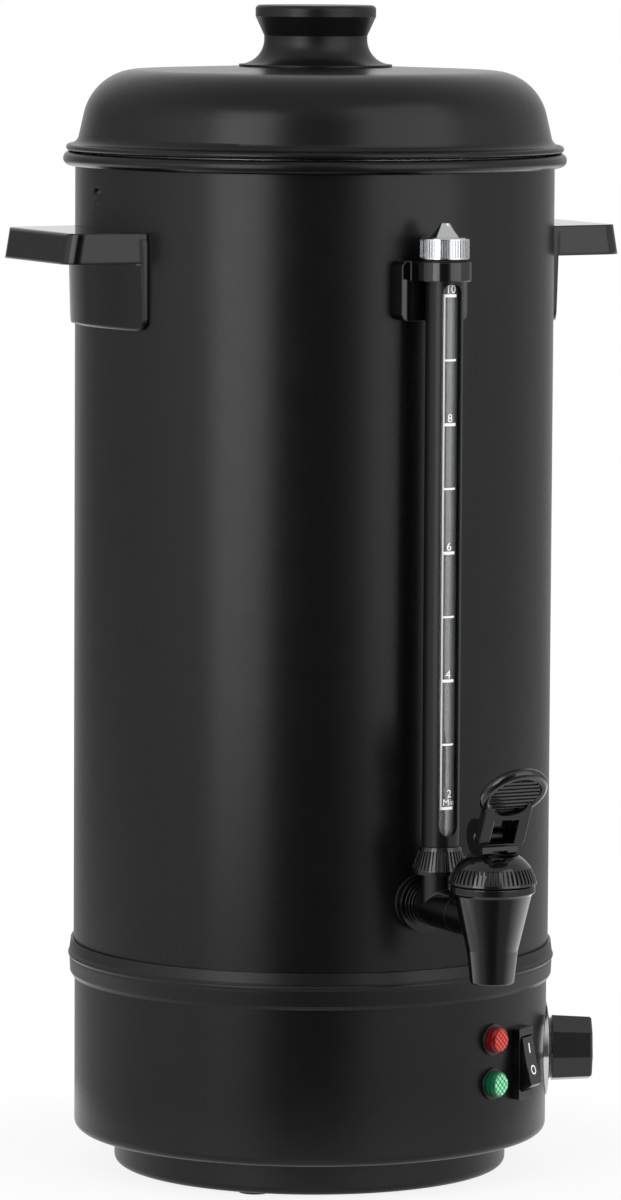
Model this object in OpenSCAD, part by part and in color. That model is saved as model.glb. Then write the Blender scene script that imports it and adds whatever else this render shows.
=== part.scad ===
// Hot water dispenser: a ten litre urn with a lift-off lid, a sight gauge, a lever tap and
// a heated base. Millimetres, +Z up, tap towards -Y, origin on the table under the axis.
// A bearing is an angle from the tap, turning towards +X.

/* [Tank] */
// Outer diameter of the tank wall
body_d = 215; // [205:1:230]
// Thickness of the tank's sheet steel
tank_wall = 0.8; // [0.6:0.1:1.2]
// Height of the rolled rim's middle above the table
rim_z = 456; // [446:1:480]
// Diameter of the rolled rim
rim_curl_d = 6.2; // [5.4:0.1:7]
// Height of the tank floor above the base's seam
floor_rise = 18; // [17:0.5:24]
// Thickness of the tank floor
floor_wall = 1; // [0.8:0.1:1.6]
// Radius of the bend round the floor's edge
floor_fillet = 6; // [3:0.5:7]
// Width of the pressed lug above each handle
lug_d = 8.2; // [6:0.1:9]
// Depth of the pressed lug
lug_depth = 1.8; // [1.2:0.1:2.2]
// Drop of the lugs below the rim's middle
lug_drop = 15.3; // [13:0.1:18]

/* [Lid] */
// Thickness of the lid's sheet steel
lid_wall = 0.8; // [0.6:0.1:1.2]
// Height of the shoulder's top above the rim's crest
lid_rise = 36.6; // [33:0.1:42]
// Radius of the lid's shoulder
lid_shoulder_r = 25; // [20:0.5:27]
// How far the shoulder's widest point lies inside the tank wall
lid_shoulder_inset = 3.2; // [2.6:0.1:5]
// Rise from the shoulder to the flat under the knob
lid_crown = 1.5; // [0.5:0.1:3]
// Radius of the flare between lid wall and edge
lid_flare_r = 4.5; // [4:0.1:5]
// Diameter of the hemmed edge
lid_hem_d = 3; // [2.4:0.1:3.4]
// Thickness of the lip on the locking ring
lock_lip = 2.4; // [1.6:0.1:3]
// Diameter of the knob's foot flange
knob_foot_d = 68.6; // [60:0.2:76]
// Diameter of the knob's neck
knob_neck_d = 46.2; // [40:0.2:52]
// Diameter of the knob's head
knob_head_d = 54; // [48:0.2:60]
// Height of the knob
knob_h = 27.4; // [25:0.2:34]

/* [Base] */
// Height of the seam between tank and base shell
seam_z = 96; // [92:0.5:104]
// How far the base shell lies inside the tank wall
shell_inset = 0.5; // [0.3:0.1:2]
// Thickness of the base shell
shell_wall = 0.8; // [0.6:0.1:1.2]
// Radius of the base shell's lower edge
shell_edge_r = 4; // [2:0.5:6]
// Diameter of the foot
foot_d = 177.5; // [165:0.5:190]
// Height of the foot's top above the table
foot_top = 17; // [15:0.5:22]
// Thickness of the foot's rim
foot_rim = 4; // [3:0.5:6]
// Radius of the foot's lower edge
foot_edge_r = 3.5; // [1:0.5:3.5]
// How far the rubber pads stand below the foot
pad_stand = 1.2; // [0.8:0.1:3]
// Diameter of the rubber pads
pad_d = 14; // [10:0.5:18]
// Number of rubber pads
pad_count = 4; // [3:1:6]
// How far the joint band hangs below the seam
band_drop = 8.8; // [7:0.1:10]
// How far the joint band rises above the seam
band_rise = 7.7; // [6:0.1:9]
// Thickness of the joint band outside the wall
band_t = 1.8; // [1.4:0.1:2.6]
// Diameter of the bead round the joint band
band_bead_d = 2.4; // [2:0.1:3.2]

/* [Handles] */
// Width of the handle's plate
handle_w = 78; // [72:0.5:90]
// Height of the handle's plate
handle_plate_h = 43; // [40:0.5:52]
// Thickness of the handle's plate at its top
handle_plate_t = 3.4; // [3:0.1:5]
// Thickness of the handle's plate at its foot
handle_foot_t = 2.2; // [1.8:0.1:3]
// Drop of the plate's top below the rim's middle
handle_drop = 30; // [28:0.5:34]
// How far the grip stands out from the tank
handle_reach = 31; // [28:0.5:40]
// Width of the grip's outer face
handle_grip_w = 73; // [62:0.5:76]
// Depth of the grip's lip
handle_lip_h = 13.5; // [12:0.5:18]
// Thickness of the grip's walls
handle_t = 3; // [2.4:0.1:4]
// Radius of the grip's outer corners
handle_corner_r = 8; // [5:0.5:10]
// Slope of the grip's outer face
handle_draft = 10; // [2:1:15]
// Radius along the grip's upper edge
handle_edge_r = 2.4; // [1.6:0.1:2.8]
// Bearing of each handle screw from the handle's middle
handle_screw_angle = 11.5; // [9:0.5:13]

/* [Gauge] */
// Distance of the gauge's axis from the tank wall
gauge_stand = 18.8; // [18.2:0.1:24]
// Outer diameter of the shield tube
shield_d = 16.4; // [16:0.1:17]
// Outer diameter of the clear sight tube
sight_d = 12; // [11:0.1:12.4]
// Thickness of the sight tube
sight_wall = 1.3; // [1:0.1:1.6]
// Width of the window slot in the shield
slot_w = 9.4; // [7:0.1:9.5]
// Height of the slot's lower end above the shield's foot
slot_lift = 4.9; // [4:0.1:14]
// Drop of the bracket's top below the rim's middle
bracket_drop = 39.9; // [39:0.1:46]
// Width of the bracket's block
bracket_w = 32; // [28:0.5:38]
// Height of the bracket's block
bracket_h = 26.2; // [22:0.2:32]
// Depth of the bracket's block
bracket_t = 9.8; // [8.6:0.1:10]
// Height of the bracket's eye
eye_h = 8.4; // [7:0.1:11]
// Outer diameter of the bracket's eye
eye_d = 23.4; // [21:0.1:24]
// Diameter of the chrome cap
cap_d = 21.4; // [20:0.1:24]
// Height of the cap's ribbed band
cap_band_h = 9.6; // [8:0.1:13]
// Height of the cap's spire
cap_spire_h = 6.1; // [4:0.1:8]
// Number of ribs round the cap
cap_ribs = 46; // [20:1:48]
// Diameter of the union nut's foot
nut_foot_d = 24.4; // [23:0.1:26]
// Diameter of the union nut's top
nut_top_d = 17.8; // [17.2:0.1:18.6]
// Height of the union nut
nut_h = 11.8; // [11:0.1:16]
// Number of grooves round the union nut
nut_grooves = 40; // [16:1:42]

/* [Tap] */
// Height of the shank's axis above the tank floor
shank_rise = 20.2; // [19:0.1:28]
// Outer diameter of the shank
shank_d = 18; // [17:0.1:19]
// Bore of the shank
shank_bore = 12; // [9:0.1:13]
// Diameter of the shank's wall collar
collar_d = 25.4; // [24:0.1:30]
// Distance of the tap's axis from the tank wall
tap_reach = 67.6; // [64:0.1:78]
// Depth of the spout's outlet below the shank's axis
outlet_drop = 26.3; // [24:0.1:32]
// Height of the spout's straight outlet
outlet_h = 14.4; // [10:0.1:15]
// Outer diameter of the outlet
outlet_d = 19; // [18.6:0.1:22]
// Bore of the outlet
outlet_bore = 14; // [11:0.1:14.6]
// Diameter of the spout's top collar
spout_collar_d = 36.6; // [35.4:0.1:38]
// Height of the spout's top above the shank's axis
spout_rise = 16.6; // [15:0.1:18]
// Diameter of the bonnet
bonnet_d = 38; // [37:0.1:40]
// Diameter of the bonnet's flat top
bonnet_top_d = 22; // [21.6:0.1:24]
// Height of the bonnet
bonnet_h = 12; // [11.6:0.1:16]
// Radius of the bonnet's domed side
bonnet_dome_r = 17; // [16:1:40]
// Number of grooves round the bonnet
bonnet_grooves = 52; // [24:1:54]
// Radius of the lever's round heel
heel_r = 8; // [7.6:0.1:9]
// How far the lever's cam centre lies in front of its pin
cam_offset = 2.4; // [2.2:0.1:3.2]
// Width of the lever's foot
lever_foot_w = 17.4; // [16:0.1:19]
// Width of the lever's neck
lever_neck_w = 22; // [20:0.1:26]
// Lean of the closed lever from upright
lever_lean = 24; // [20:1:30]
// Further lean of the thumb pad
pad_tilt = 21; // [10:1:26]
// Diameter of the lever's thumb pad
pad_plate_d = 30.8; // [26:0.2:34]
// Distance of the thumb pad's middle from the pin
pad_plate_u = 26.4; // [25:0.1:30]
// Number of ribs on the thumb pad
pad_ribs = 8; // [4:1:9]
// Diameter of the lever's pin
lever_pin_d = 3; // [2.4:0.1:3.2]
// Largest turn of the lever
lever_turn = 32; // [20:1:32]

/* [Controls] */
// Bearing of the two lamps
lamp_bearing = 22.6; // [18:0.1:25]
// Height of the lower, green lamp
lamp_low_z = 48.8; // [42:0.1:54]
// Spacing of the two lamps
lamp_pitch = 19.8; // [17:0.1:24]
// Diameter of the lamp lenses
lens_d = 11.6; // [10:0.1:12.4]
// Height of the lamp lenses
lens_h = 4.2; // [3:0.1:6]
// Bearing of the rocker switch
switch_bearing = 34.5; // [33.5:0.1:40]
// Height of the rocker switch's middle
switch_z = 55.4; // [48:0.1:62]
// Width of the switch's bezel
switch_w = 13.2; // [12.6:0.1:15]
// Height of the switch's bezel
switch_h = 32; // [30:0.1:34]
// How far the switch's bezel stands proud of the base shell
switch_proud = 3.4; // [2.4:0.1:4.4]
// Tilt of the rocker either way
rocker_tilt = 13; // [8:0.5:14]
// Bearing of the thermostat knob
dial_bearing = 65; // [58:0.5:80]
// Height of the thermostat knob's axis
dial_z = 52.8; // [46:0.1:60]
// Diameter of the chrome rosette
rosette_d = 42.6; // [36:0.1:46]
// Height of the chrome rosette
rosette_h = 1.4; // [1.2:0.1:4]
// Width across the knob's corners
dial_d = 31; // [28:0.1:34]
// Length of the thermostat knob
dial_l = 18; // [15:0.1:20]
// Turn of the knob's corners from level
dial_turn = 8; // [0:1:22]

/* [Heater and wiring] */
// Diameter of the heating plate
plate_d = 124; // [110:1:130]
// Thickness of the heating plate
plate_t = 8; // [7:0.5:9]
// Ring diameter of the cast-in element
element_ring_d = 90; // [80:1:96]
// Diameter of the cast-in element
element_d = 8.4; // [6.6:0.1:9]
// Distance of the tie studs from the axis
stud_r = 72; // [68:0.5:74]
// Height of the appliance inlet's middle
inlet_z = 52; // [46:0.5:60]
// Diameter of the internal wires
wire_d = 2.4; // [1.6:0.1:3]

/* [Fits] */
// Gap between pieces that are fastened together
seat_gap = 0.05; // [0.02:0.01:0.1]
// Gap between pieces that move apart
rest_gap = 0.3; // [0.2:0.05:0.4]
// Radial clearance of pins and shafts
run_gap = 0.05; // [0.03:0.01:0.08]

/* [Hidden] */
$fn = 96;
body_r = body_d / 2;
tank_ri = body_r - tank_wall;
curl_r = rim_curl_d / 2;
rim_r = tank_ri + curl_r;
rim_crest = rim_z + curl_r;
floor_z = seam_z + floor_rise;
web_t = 2;
skirt_z = seam_z + web_t / 2;
floor_skirt = floor_fillet + 3;
lug_z = rim_z - lug_drop;
lug_ball_r = (pow(lug_d / 2, 2) + pow(lug_depth, 2)) / (2 * lug_depth);
lug_ball_at = body_r - lug_depth + lug_ball_r;
lug_tip_r = lug_ball_at - lug_ball_r - tank_wall;
lug_half = sqrt(pow(lug_ball_r + tank_wall, 2) - pow(lug_ball_at - tank_ri, 2));

// Lid: the wall is the common tangent of the shoulder's and the flare's circles
hem_r = lid_hem_d / 2;
hem_at = [rim_r + 0.3, rim_crest + rest_gap + hem_r];
flare_at = [hem_at[0] + 0.3, hem_at[1] + hem_r + lid_flare_r];
lid_top = rim_crest + lid_rise;
shoulder_at = [body_r - lid_shoulder_inset - lid_shoulder_r, lid_top - lid_shoulder_r];
lid_span = flare_at - shoulder_at;
lid_slope = atan2(lid_span[1], lid_span[0]) + acos((lid_shoulder_r + lid_flare_r) / norm(lid_span));
lid_normal = [cos(lid_slope), sin(lid_slope)];
lid_flat = lid_top + lid_crown;
lid_flat_r = knob_foot_d / 2 + 1;
lock_wall = 0.8;
lock_r = lug_tip_r - 0.6;
lid_wall_foot = flare_at - (lid_flare_r + lid_wall) * lid_normal;
lock_top = lid_wall_foot[1] + (lid_wall_foot[0] - lock_r - seat_gap) / tan(lid_slope);
lock_lip_top = lug_z - lug_half - 0.6;
lock_notch = 2 * lug_half + 2.4;
knob_screw_d = 5;
knob_top = lid_flat + seat_gap + knob_h;

// Base
shell_r = body_r - shell_inset;
shell_ri = shell_r - shell_wall;
foot_r = foot_d / 2;
foot_spigot_r = foot_r - foot_rim - 1;
foot_spigot_t = 2.4;
foot_web_z = foot_top - 7;
foot_web_t = 2.5;
pad_ring_r = foot_r - foot_rim - pad_d / 2 - 1.2;
pad_seat_z = pad_stand + 2.8;
stud_d = 5;
stud_bearings = [90, 210, 330];
stud_nut_h = 4;
heater_stud_d = 6;
vent_r = 28;
vent_l = 24;
vent_w = 3.2;

// Handles
handle_top = rim_z - handle_drop;
handle_r0 = body_r + seat_gap;
handle_r1 = body_r + handle_reach;
grip_top = handle_top;
handle_screw_z = grip_top - handle_lip_h / 2 + 0.2;
screw_d = 4;
handle_bearings = [-90, 90];

// Gauge
gauge_r = body_r + gauge_stand;
shank_z = floor_z + shank_rise;
bracket_top = rim_z - bracket_drop;
shield_bore = sight_d + 0.4;
branch_d = shank_d - 0.4;
branch_top = shank_z + 15.3;
gauge_spigot_d = branch_d - 1.6;
gauge_spigot_h = 6.8;
sight_seal_t = 2;
sight_foot = branch_top + 1;
shield_foot = branch_top + nut_h + seat_gap;
eye_lip = 2;
shield_top = bracket_top - eye_lip - seat_gap;
sight_top = shield_top - 0.9;
cap_seal_t = 0.8;
cap_foot = bracket_top + cap_seal_t;
cap_spire_r = 6.9;
cap_tip_r = 2.1;
cap_hollow = 0.35;
bracket_screw_angle = asin((bracket_w / 2 - 7) / body_r);
bracket_screw_z = bracket_top - eye_h + 1;

// Tap
washer_t = 2.4;
collar_r0 = body_r + washer_t;
collar_t = gauge_stand - nut_foot_d / 2 - washer_t - rest_gap;
collar_step = 3.2;
collar_step_d = collar_d - 4.4;
tail_d = shank_d - 1;
tap_r = body_r + tap_reach;
shank_end = gauge_r + 21.5;
spigot_l = 8;
spigot_d = shank_bore + 3;
shank_nut_w = 31;
shank_nut_t = 6;
shank_nut_r = tank_ri - washer_t - shank_nut_t - 1;
outlet_z = shank_z - outlet_drop;
spout_neck_z = outlet_z + outlet_h;
spout_top = shank_z + spout_rise;
seat_z = spout_neck_z + 4.6;
chamber_d = spout_collar_d - 8.6;
bonnet_seal_t = 0.6;
bonnet_foot = spout_top + bonnet_seal_t;
bonnet_top = bonnet_foot + bonnet_h;
bonnet_spigot_d = chamber_d - 0.1;
bonnet_ceiling = bonnet_top - 3.4;
spring_chamber_d = 18;
tongue_w = 6.4;
tongue_t = 3;
stem_d = 6;
pin_z = bonnet_top + rest_gap + heel_r;
cup_d = outlet_bore + 3.2;
cup_foot = seat_z + 0.1;
stem_collar_z = bonnet_foot - 7;
stem_collar_t = 2;
spring_wire = 1;
spring_d = 12;
spring_turns = 5;
spring_z0 = stem_collar_z + stem_collar_t + seat_gap + spring_wire / 2;
spring_z1 = bonnet_ceiling - seat_gap - spring_wire / 2;
lever_slot_w = tongue_w + 0.6;
lever_front = heel_r * sin(lever_turn) + cam_offset + 0.1;
lever_slot_front = lever_front - 0.9;
lever_slot_foot = 2.1 - heel_r;
lever_face = 8;
lever_neck_t = 4.5;
pad_bead_r = 2.4;

// Controls
lamp_neck_d = lens_d - 1.6;
lamp_flange_d = lens_d + 2.4;
lamp_flange_t = 1.2;
lamp_depth = 21;
switch_face = shell_r + switch_proud;
switch_slot_w = switch_w - 3;
switch_slot_h = switch_h - 7;
switch_box_w = switch_w - 1.6;
switch_box_h = switch_h - 3.4;
switch_depth = 25;
rocker_r = switch_slot_h / 2 - 0.2;
rocker_pin_r = switch_face - 2.9;
rocker_pin_d = 2;
rocker_rise = 5.6;
rocker_dip = 2.5;
rosette_face = shell_r + rosette_h;
bushing_d = 10;
bushing_l = 5;
bushing_nut_w = 14;
bushing_nut_t = 3;
dial_foot = rosette_face + 0.5;
dial_shaft_d = 6;
thermostat_w = 34;
thermostat_h = 30;
thermostat_t = 28;
thermostat_face = shell_ri - 3.4;
thermostat_back = thermostat_face - thermostat_t;

// Heater and wiring
plate_top = floor_z - floor_wall - seat_gap;
plate_foot = plate_top - plate_t;
element_z = plate_foot;
clamp_t = 3;
clamp_w = 18;
clamp_l = element_ring_d + element_d + 4;
clamp_top = element_z - element_d / 2 - seat_gap;
clamp_nut_t = 5;
bulb_d = 4.4;
bulb_l = 36;
capillary_d = 1.8;
capillary_bend = 6;
cutout_at = [0, -27];
cutout_d = 16;
cutout_h = 9;
terminal_at = [-38, 22];
terminal_size = [36, 18, 14];
terminal_z = foot_web_z + foot_web_t + seat_gap;
inlet_w = 31;
inlet_h = 25;
inlet_face = shell_r + 2.6;
inlet_box_w = 27;
inlet_box_h = 20;
inlet_depth = 26;
element_post_bearings = [172, 188];
element_post_h = 12;

// Shared shapes
// Turns the children to a bearing: their -Y side then faces outwards there
module facing(bearing) {
    rotate([0, 0, bearing]) children();
}

// A round bar along the outward direction, from radius r0 to radius r1
module outward_rod(r0, r1, z, d) {
    translate([0, -r0, z]) rotate([90, 0, 0]) cylinder(h = r1 - r0, d = d);
}

// Extrudes a flat shape, drawn as (sideways, up), along the outward direction
module outward_slab(r0, r1, z) {
    translate([0, -r0, z]) rotate([90, 0, 0]) linear_extrude(r1 - r0) children();
}

// Extrudes a flat shape, drawn as (outwards, up), evenly to both sides
module side_slab(width) {
    rotate([90, 0, -90]) linear_extrude(width, center = true) children();
}

// Part of a flat ring between two angles less than half a turn apart
module ring_sector(at, r_in, r_out, a0, a1) {
    reach = 3 * r_out;
    middle = (a0 + a1) / 2;
    translate(at) intersection() {
        difference() {
            circle(r = r_out);
            circle(r = r_in);
        }
        polygon([
            [0, 0],
            reach * [cos(a0), sin(a0)],
            reach * [cos(middle), sin(middle)],
            reach * [cos(a1), sin(a1)]
        ]);
    }
}

// A rectangle about the origin with round corners
module round_rect(w, h, r) {
    square([w - 2 * r, h], center = true);
    square([w, h - 2 * r], center = true);
    for (sx = [-1, 1], sy = [-1, 1])
        translate([sx * (w / 2 - r), sy * (h / 2 - r)]) circle(r = r);
}

// A drum round the vertical axis, used to cope pieces to a wall
module wall_drum(r) {
    cylinder(h = rim_z + body_r, r = r, $fn = 360);
}

// Grooves down a cone whose side runs from [r0, z0] to [r1, z1]
module cone_grooves(count, foot, top, width, depth) {
    run = top - foot;
    middle = (foot + top) / 2;
    for (i = [0 : count - 1])
        rotate([0, 0, i * 360 / count]) translate([middle[0], 0, middle[1]])
            rotate([0, atan2(run[0], run[1]), 0])
                cube([2 * depth, width, norm(run)], center = true);
}

// A screw along the outward direction, its head on the inner face of a round wall
module wall_screw(bearing, z, wall_ri, grip) {
    head_r = screw_d;
    head_face = sqrt(pow(wall_ri, 2) - pow(head_r, 2)) - seat_gap;
    facing(bearing) {
        outward_rod(head_face - 2.4, head_face, z, 2 * head_r);
        outward_rod(head_face - 0.1, wall_ri + grip, z, screw_d);
    }
}

// Lid
module lid_dome() {
    crown_foot = [shoulder_at[0], lid_top];
    wall_foot = flare_at - lid_flare_r * lid_normal;
    wall_top = shoulder_at + lid_shoulder_r * lid_normal;
    inward = lid_wall * lid_normal;
    color("#26272a") difference() {
        rotate_extrude() {
            ring_sector(shoulder_at, lid_shoulder_r - lid_wall, lid_shoulder_r, lid_slope, 90);
            polygon([wall_foot, wall_top, wall_top - inward, wall_foot - inward]);
            ring_sector(flare_at, lid_flare_r, lid_flare_r + lid_wall, 180 + lid_slope, 270);
            translate(hem_at) circle(r = hem_r);
            polygon([
                crown_foot, [lid_flat_r, lid_flat], [0, lid_flat],
                [0, lid_flat - lid_wall], [lid_flat_r, lid_flat - lid_wall],
                crown_foot - [0, lid_wall]
            ]);
        }
        translate([0, 0, lid_top - 5]) cylinder(h = 20, d = knob_screw_d + 0.4);
    }
}

module lid_lock_ring() {
    color("#8f9296") difference() {
        rotate_extrude() {
            translate([lock_r - lock_wall, lock_lip_top - lock_lip])
                square([lock_wall, lock_top - lock_lip_top + lock_lip]);
            translate([lock_r - lock_wall, lock_lip_top - lock_lip])
                square([tank_ri - 0.5 - lock_r + lock_wall, lock_lip]);
        }
        for (bearing = handle_bearings)
            facing(bearing) translate([-lock_notch / 2, -body_r, lock_lip_top - 2 * lock_lip])
                cube([lock_notch, body_r - lock_r, 3 * lock_lip]);
    }
}

module lid_knob() {
    foot = lid_flat + seat_gap;
    edge = 1;
    flare = (knob_foot_d - knob_neck_d) / 2;
    neck_z = foot + edge + flare;
    round_r = 2;
    head_z = knob_top - 5;
    color("#1b1b1d") difference() {
        rotate_extrude() {
            difference() {
                translate([0, foot]) square([knob_foot_d / 2, edge + flare]);
                translate([knob_foot_d / 2, neck_z]) circle(r = flare);
            }
            polygon([
                [0, neck_z - 0.1], [knob_neck_d / 2, neck_z - 0.1], [knob_neck_d / 2, neck_z + 1.6],
                [knob_head_d / 2, head_z], [knob_head_d / 2, knob_top - round_r],
                [knob_head_d / 2 - round_r, knob_top - round_r],
                [knob_head_d / 2 - round_r, knob_top], [0, knob_top]
            ]);
            translate([knob_head_d / 2 - round_r, knob_top - round_r]) circle(r = round_r);
        }
        translate([0, 0, foot - 1]) cylinder(h = 16, d = knob_screw_d);
    }
}

module lid_knob_washer() {
    under = lid_flat - lid_wall - seat_gap;
    color("#b9bcc0") translate([0, 0, under - 1]) difference() {
        cylinder(h = 1, r = 9);
        translate([0, 0, -1]) cylinder(h = 3, d = knob_screw_d + 0.4);
    }
}

module lid_knob_screw() {
    under = lid_flat - lid_wall - 2 * seat_gap - 1;
    color("#b9bcc0") {
        translate([0, 0, under - 3]) difference() {
            cylinder(h = 3, r = 4.75);
            translate([0, 0, -1]) cube([1.2, 7, 4.4], center = true);
        }
        translate([0, 0, under - 0.1]) cylinder(h = 14, d = knob_screw_d - 2 * run_gap);
    }
}

// Tank
module lug_balls(r) {
    for (bearing = handle_bearings)
        facing(bearing) translate([0, -lug_ball_at, lug_z]) sphere(r = r);
}

module tank_section() {
    translate([tank_ri, skirt_z]) square([tank_wall, rim_z - skirt_z]);
    // The rim's sheet curls over and leaves a slit beside the wall
    translate([rim_r, rim_z]) difference() {
        circle(r = curl_r);
        circle(r = curl_r - tank_wall);
        translate([body_r - rim_r, -curl_r - 0.1]) square([1, curl_r - 0.4]);
    }
}

module tank() {
    color("#2a2b2e") difference() {
        union() {
            rotate_extrude() tank_section();
            intersection() {
                lug_balls(lug_ball_r + tank_wall);
                wall_drum(body_r - tank_wall / 2);
            }
        }
        lug_balls(lug_ball_r);
        outward_rod(tank_ri - 5, body_r + 5, shank_z, tail_d + 0.4);
        for (side = [-1, 1]) {
            facing(side * bracket_screw_angle)
                outward_rod(tank_ri - 3, body_r + 3, bracket_screw_z, screw_d + 0.3);
            for (bearing = handle_bearings)
                facing(bearing + side * handle_screw_angle)
                    outward_rod(tank_ri - 3, body_r + 3, handle_screw_z, screw_d + 0.3);
        }
    }
}

// The pressed floor, its edge turned down and welded to the wall
module tank_floor() {
    edge_r = tank_ri - seat_gap;
    bend_at = [edge_r - floor_fillet, floor_z - floor_fillet];
    color("#9a9da1") rotate_extrude() {
        translate([0, floor_z - floor_wall]) square([bend_at[0], floor_wall]);
        ring_sector(bend_at, floor_fillet - floor_wall, floor_fillet, 0, 90);
        translate([edge_r - floor_wall, floor_z - floor_skirt])
            square([floor_wall, floor_skirt - floor_fillet]);
    }
}

module weld_studs() {
    top = floor_z - floor_wall;
    stud_foot = foot_web_z - stud_nut_h - 1;
    color("#b9bcc0") {
        for (bearing = stud_bearings)
            facing(bearing) translate([0, -stud_r, stud_foot])
                cylinder(h = top - stud_foot, d = stud_d);
        clamp_foot = clamp_top - clamp_t - clamp_nut_t - 2;
        translate([0, 0, clamp_foot]) cylinder(h = top - clamp_foot, d = heater_stud_d);
    }
}

// Base
module joint_band() {
    inner_r = min(tank_ri, shell_ri) - seat_gap;
    outer_r = body_r + seat_gap;
    color("#1d1e20") rotate_extrude() {
        polygon([
            [outer_r, seam_z - band_drop], [outer_r + 0.5, seam_z - band_drop],
            [outer_r + band_t - 0.3, seam_z - band_drop + 1.8], [outer_r + band_t, seam_z - 1],
            [outer_r + band_t, seam_z + 3], [outer_r + band_t - 0.6, seam_z + band_rise],
            [outer_r, seam_z + band_rise]
        ]);
        translate([outer_r + band_t - band_bead_d / 4, seam_z + 1]) circle(d = band_bead_d);
        translate([inner_r - 0.9, seam_z - web_t / 2 + seat_gap])
            square([outer_r - inner_r + 1.9, web_t - 2 * seat_gap]);
        translate([inner_r - 0.9, seam_z - 6]) square([0.9, 12]);
    }
}

// The base shell's cut-outs for the controls and the inlet
module shell_cuts() {
    r0 = shell_ri - 6;
    r1 = shell_r + 6;
    for (k = [0, 1])
        facing(lamp_bearing) outward_rod(r0, r1, lamp_low_z + k * lamp_pitch, lamp_neck_d + 0.3);
    facing(switch_bearing) outward_slab(r0, r1, switch_z)
        square([switch_box_w + 0.3, switch_box_h + 0.3], center = true);
    facing(dial_bearing) outward_rod(r0, r1, dial_z, bushing_d + 0.3);
    facing(180) outward_slab(r0, r1, inlet_z)
        square([inlet_box_w + 0.3, inlet_box_h + 0.3], center = true);
}

module base_shell() {
    corner = [shell_r - shell_edge_r, foot_top + shell_edge_r];
    hole_r = foot_spigot_r + 0.3;
    color("#2a2b2e") difference() {
        rotate_extrude() {
            translate([shell_ri, corner[1]]) square([shell_wall, seam_z - web_t / 2 - corner[1]]);
            ring_sector(corner, shell_edge_r - shell_wall, shell_edge_r, 270, 360);
            translate([hole_r, foot_top]) square([corner[0] - hole_r, shell_wall]);
        }
        shell_cuts();
    }
}

module foot_pan() {
    top = foot_top - seat_gap;
    edge_at = [foot_r - foot_edge_r, pad_stand + foot_edge_r];
    color("#1b1b1d") difference() {
        union() {
            rotate_extrude() {
                translate([foot_r - foot_rim, edge_at[1]]) square([foot_rim, top - edge_at[1]]);
                translate([foot_r - foot_rim, pad_stand])
                    square([foot_rim - foot_edge_r, foot_edge_r + 0.1]);
                ring_sector(edge_at, 0, foot_edge_r, 270, 360);
                translate([0, foot_web_z]) square([foot_r - foot_rim / 2, foot_web_t]);
                translate([foot_spigot_r - foot_spigot_t, foot_web_z])
                    square([foot_spigot_t, foot_top + 2 - foot_web_z]);
            }
            for (i = [0 : pad_count - 1])
                facing(45 + i * 360 / pad_count) translate([0, -pad_ring_r, pad_stand])
                    cylinder(h = foot_web_z + 0.5 - pad_stand, d = pad_d + 4);
            for (bearing = stud_bearings)
                facing(bearing) translate([0, -stud_r, foot_web_z])
                    cylinder(h = foot_web_t + 5, d = stud_d + 7);
        }
        for (i = [0 : pad_count - 1])
            facing(45 + i * 360 / pad_count) translate([0, -pad_ring_r, 0])
                cylinder(h = pad_seat_z, d = pad_d + 0.2);
        for (bearing = stud_bearings)
            facing(bearing) translate([0, -stud_r, 0]) cylinder(h = foot_top + 9, d = stud_d + 0.4);
        // Vents under the heater
        for (i = [0 : 11])
            facing(15 + i * 30) translate([-vent_w / 2, -vent_r - vent_l, 0])
                cube([vent_w, vent_l, foot_top]);
    }
}

module foot_pads() {
    color("#161616") for (i = [0 : pad_count - 1])
        facing(45 + i * 360 / pad_count) translate([0, -pad_ring_r, 0])
            cylinder(h = pad_seat_z - seat_gap, d = pad_d);
}

module tie_nuts() {
    color("#b9bcc0") for (bearing = stud_bearings)
        facing(bearing) translate([0, -stud_r, foot_web_z - seat_gap - stud_nut_h]) difference() {
            cylinder(h = stud_nut_h, d = 9.2, $fn = 6);
            translate([0, 0, -1]) cylinder(h = stud_nut_h + 2, d = stud_d + 2 * run_gap);
        }
}

// Handles
// The grip's outline seen from above, drawn as (sideways, inwards), inset by its wall
module grip_plan(inset) {
    half = handle_w / 2 - inset;
    end = handle_grip_w / 2 - inset;
    reach = handle_r1 - inset;
    r = handle_corner_r - inset;
    root = body_r * 0.9;
    polygon([
        [-half, -root], [half, -root], [end, r - reach], [end - r, -reach],
        [r - end, -reach], [-end, r - reach]
    ]);
    for (side = [-1, 1]) translate([side * (end - r), r - reach]) circle(r = r);
}

// The grip's outline drawn out along the lean of its outer face
module grip_draw(inset) {
    translate([0, -handle_r1, grip_top - handle_lip_h]) rotate([-handle_draft, 0, 0])
        translate([0, handle_r1, -handle_lip_h]) linear_extrude(3 * handle_lip_h) grip_plan(inset);
}

// What is cut off to round the grip's upper edge
module grip_edge() {
    ease = 0.02;
    top = handle_lip_h - handle_edge_r;
    at = [handle_r1 - top * tan(handle_draft) - handle_edge_r / cos(handle_draft), grip_top - handle_edge_r];
    side_slab(2 * handle_w) difference() {
        translate(at + [0, handle_edge_r * sin(handle_draft)]) square(handle_reach);
        translate(at + [ease, ease]) circle(r = handle_edge_r);
    }
}

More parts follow.
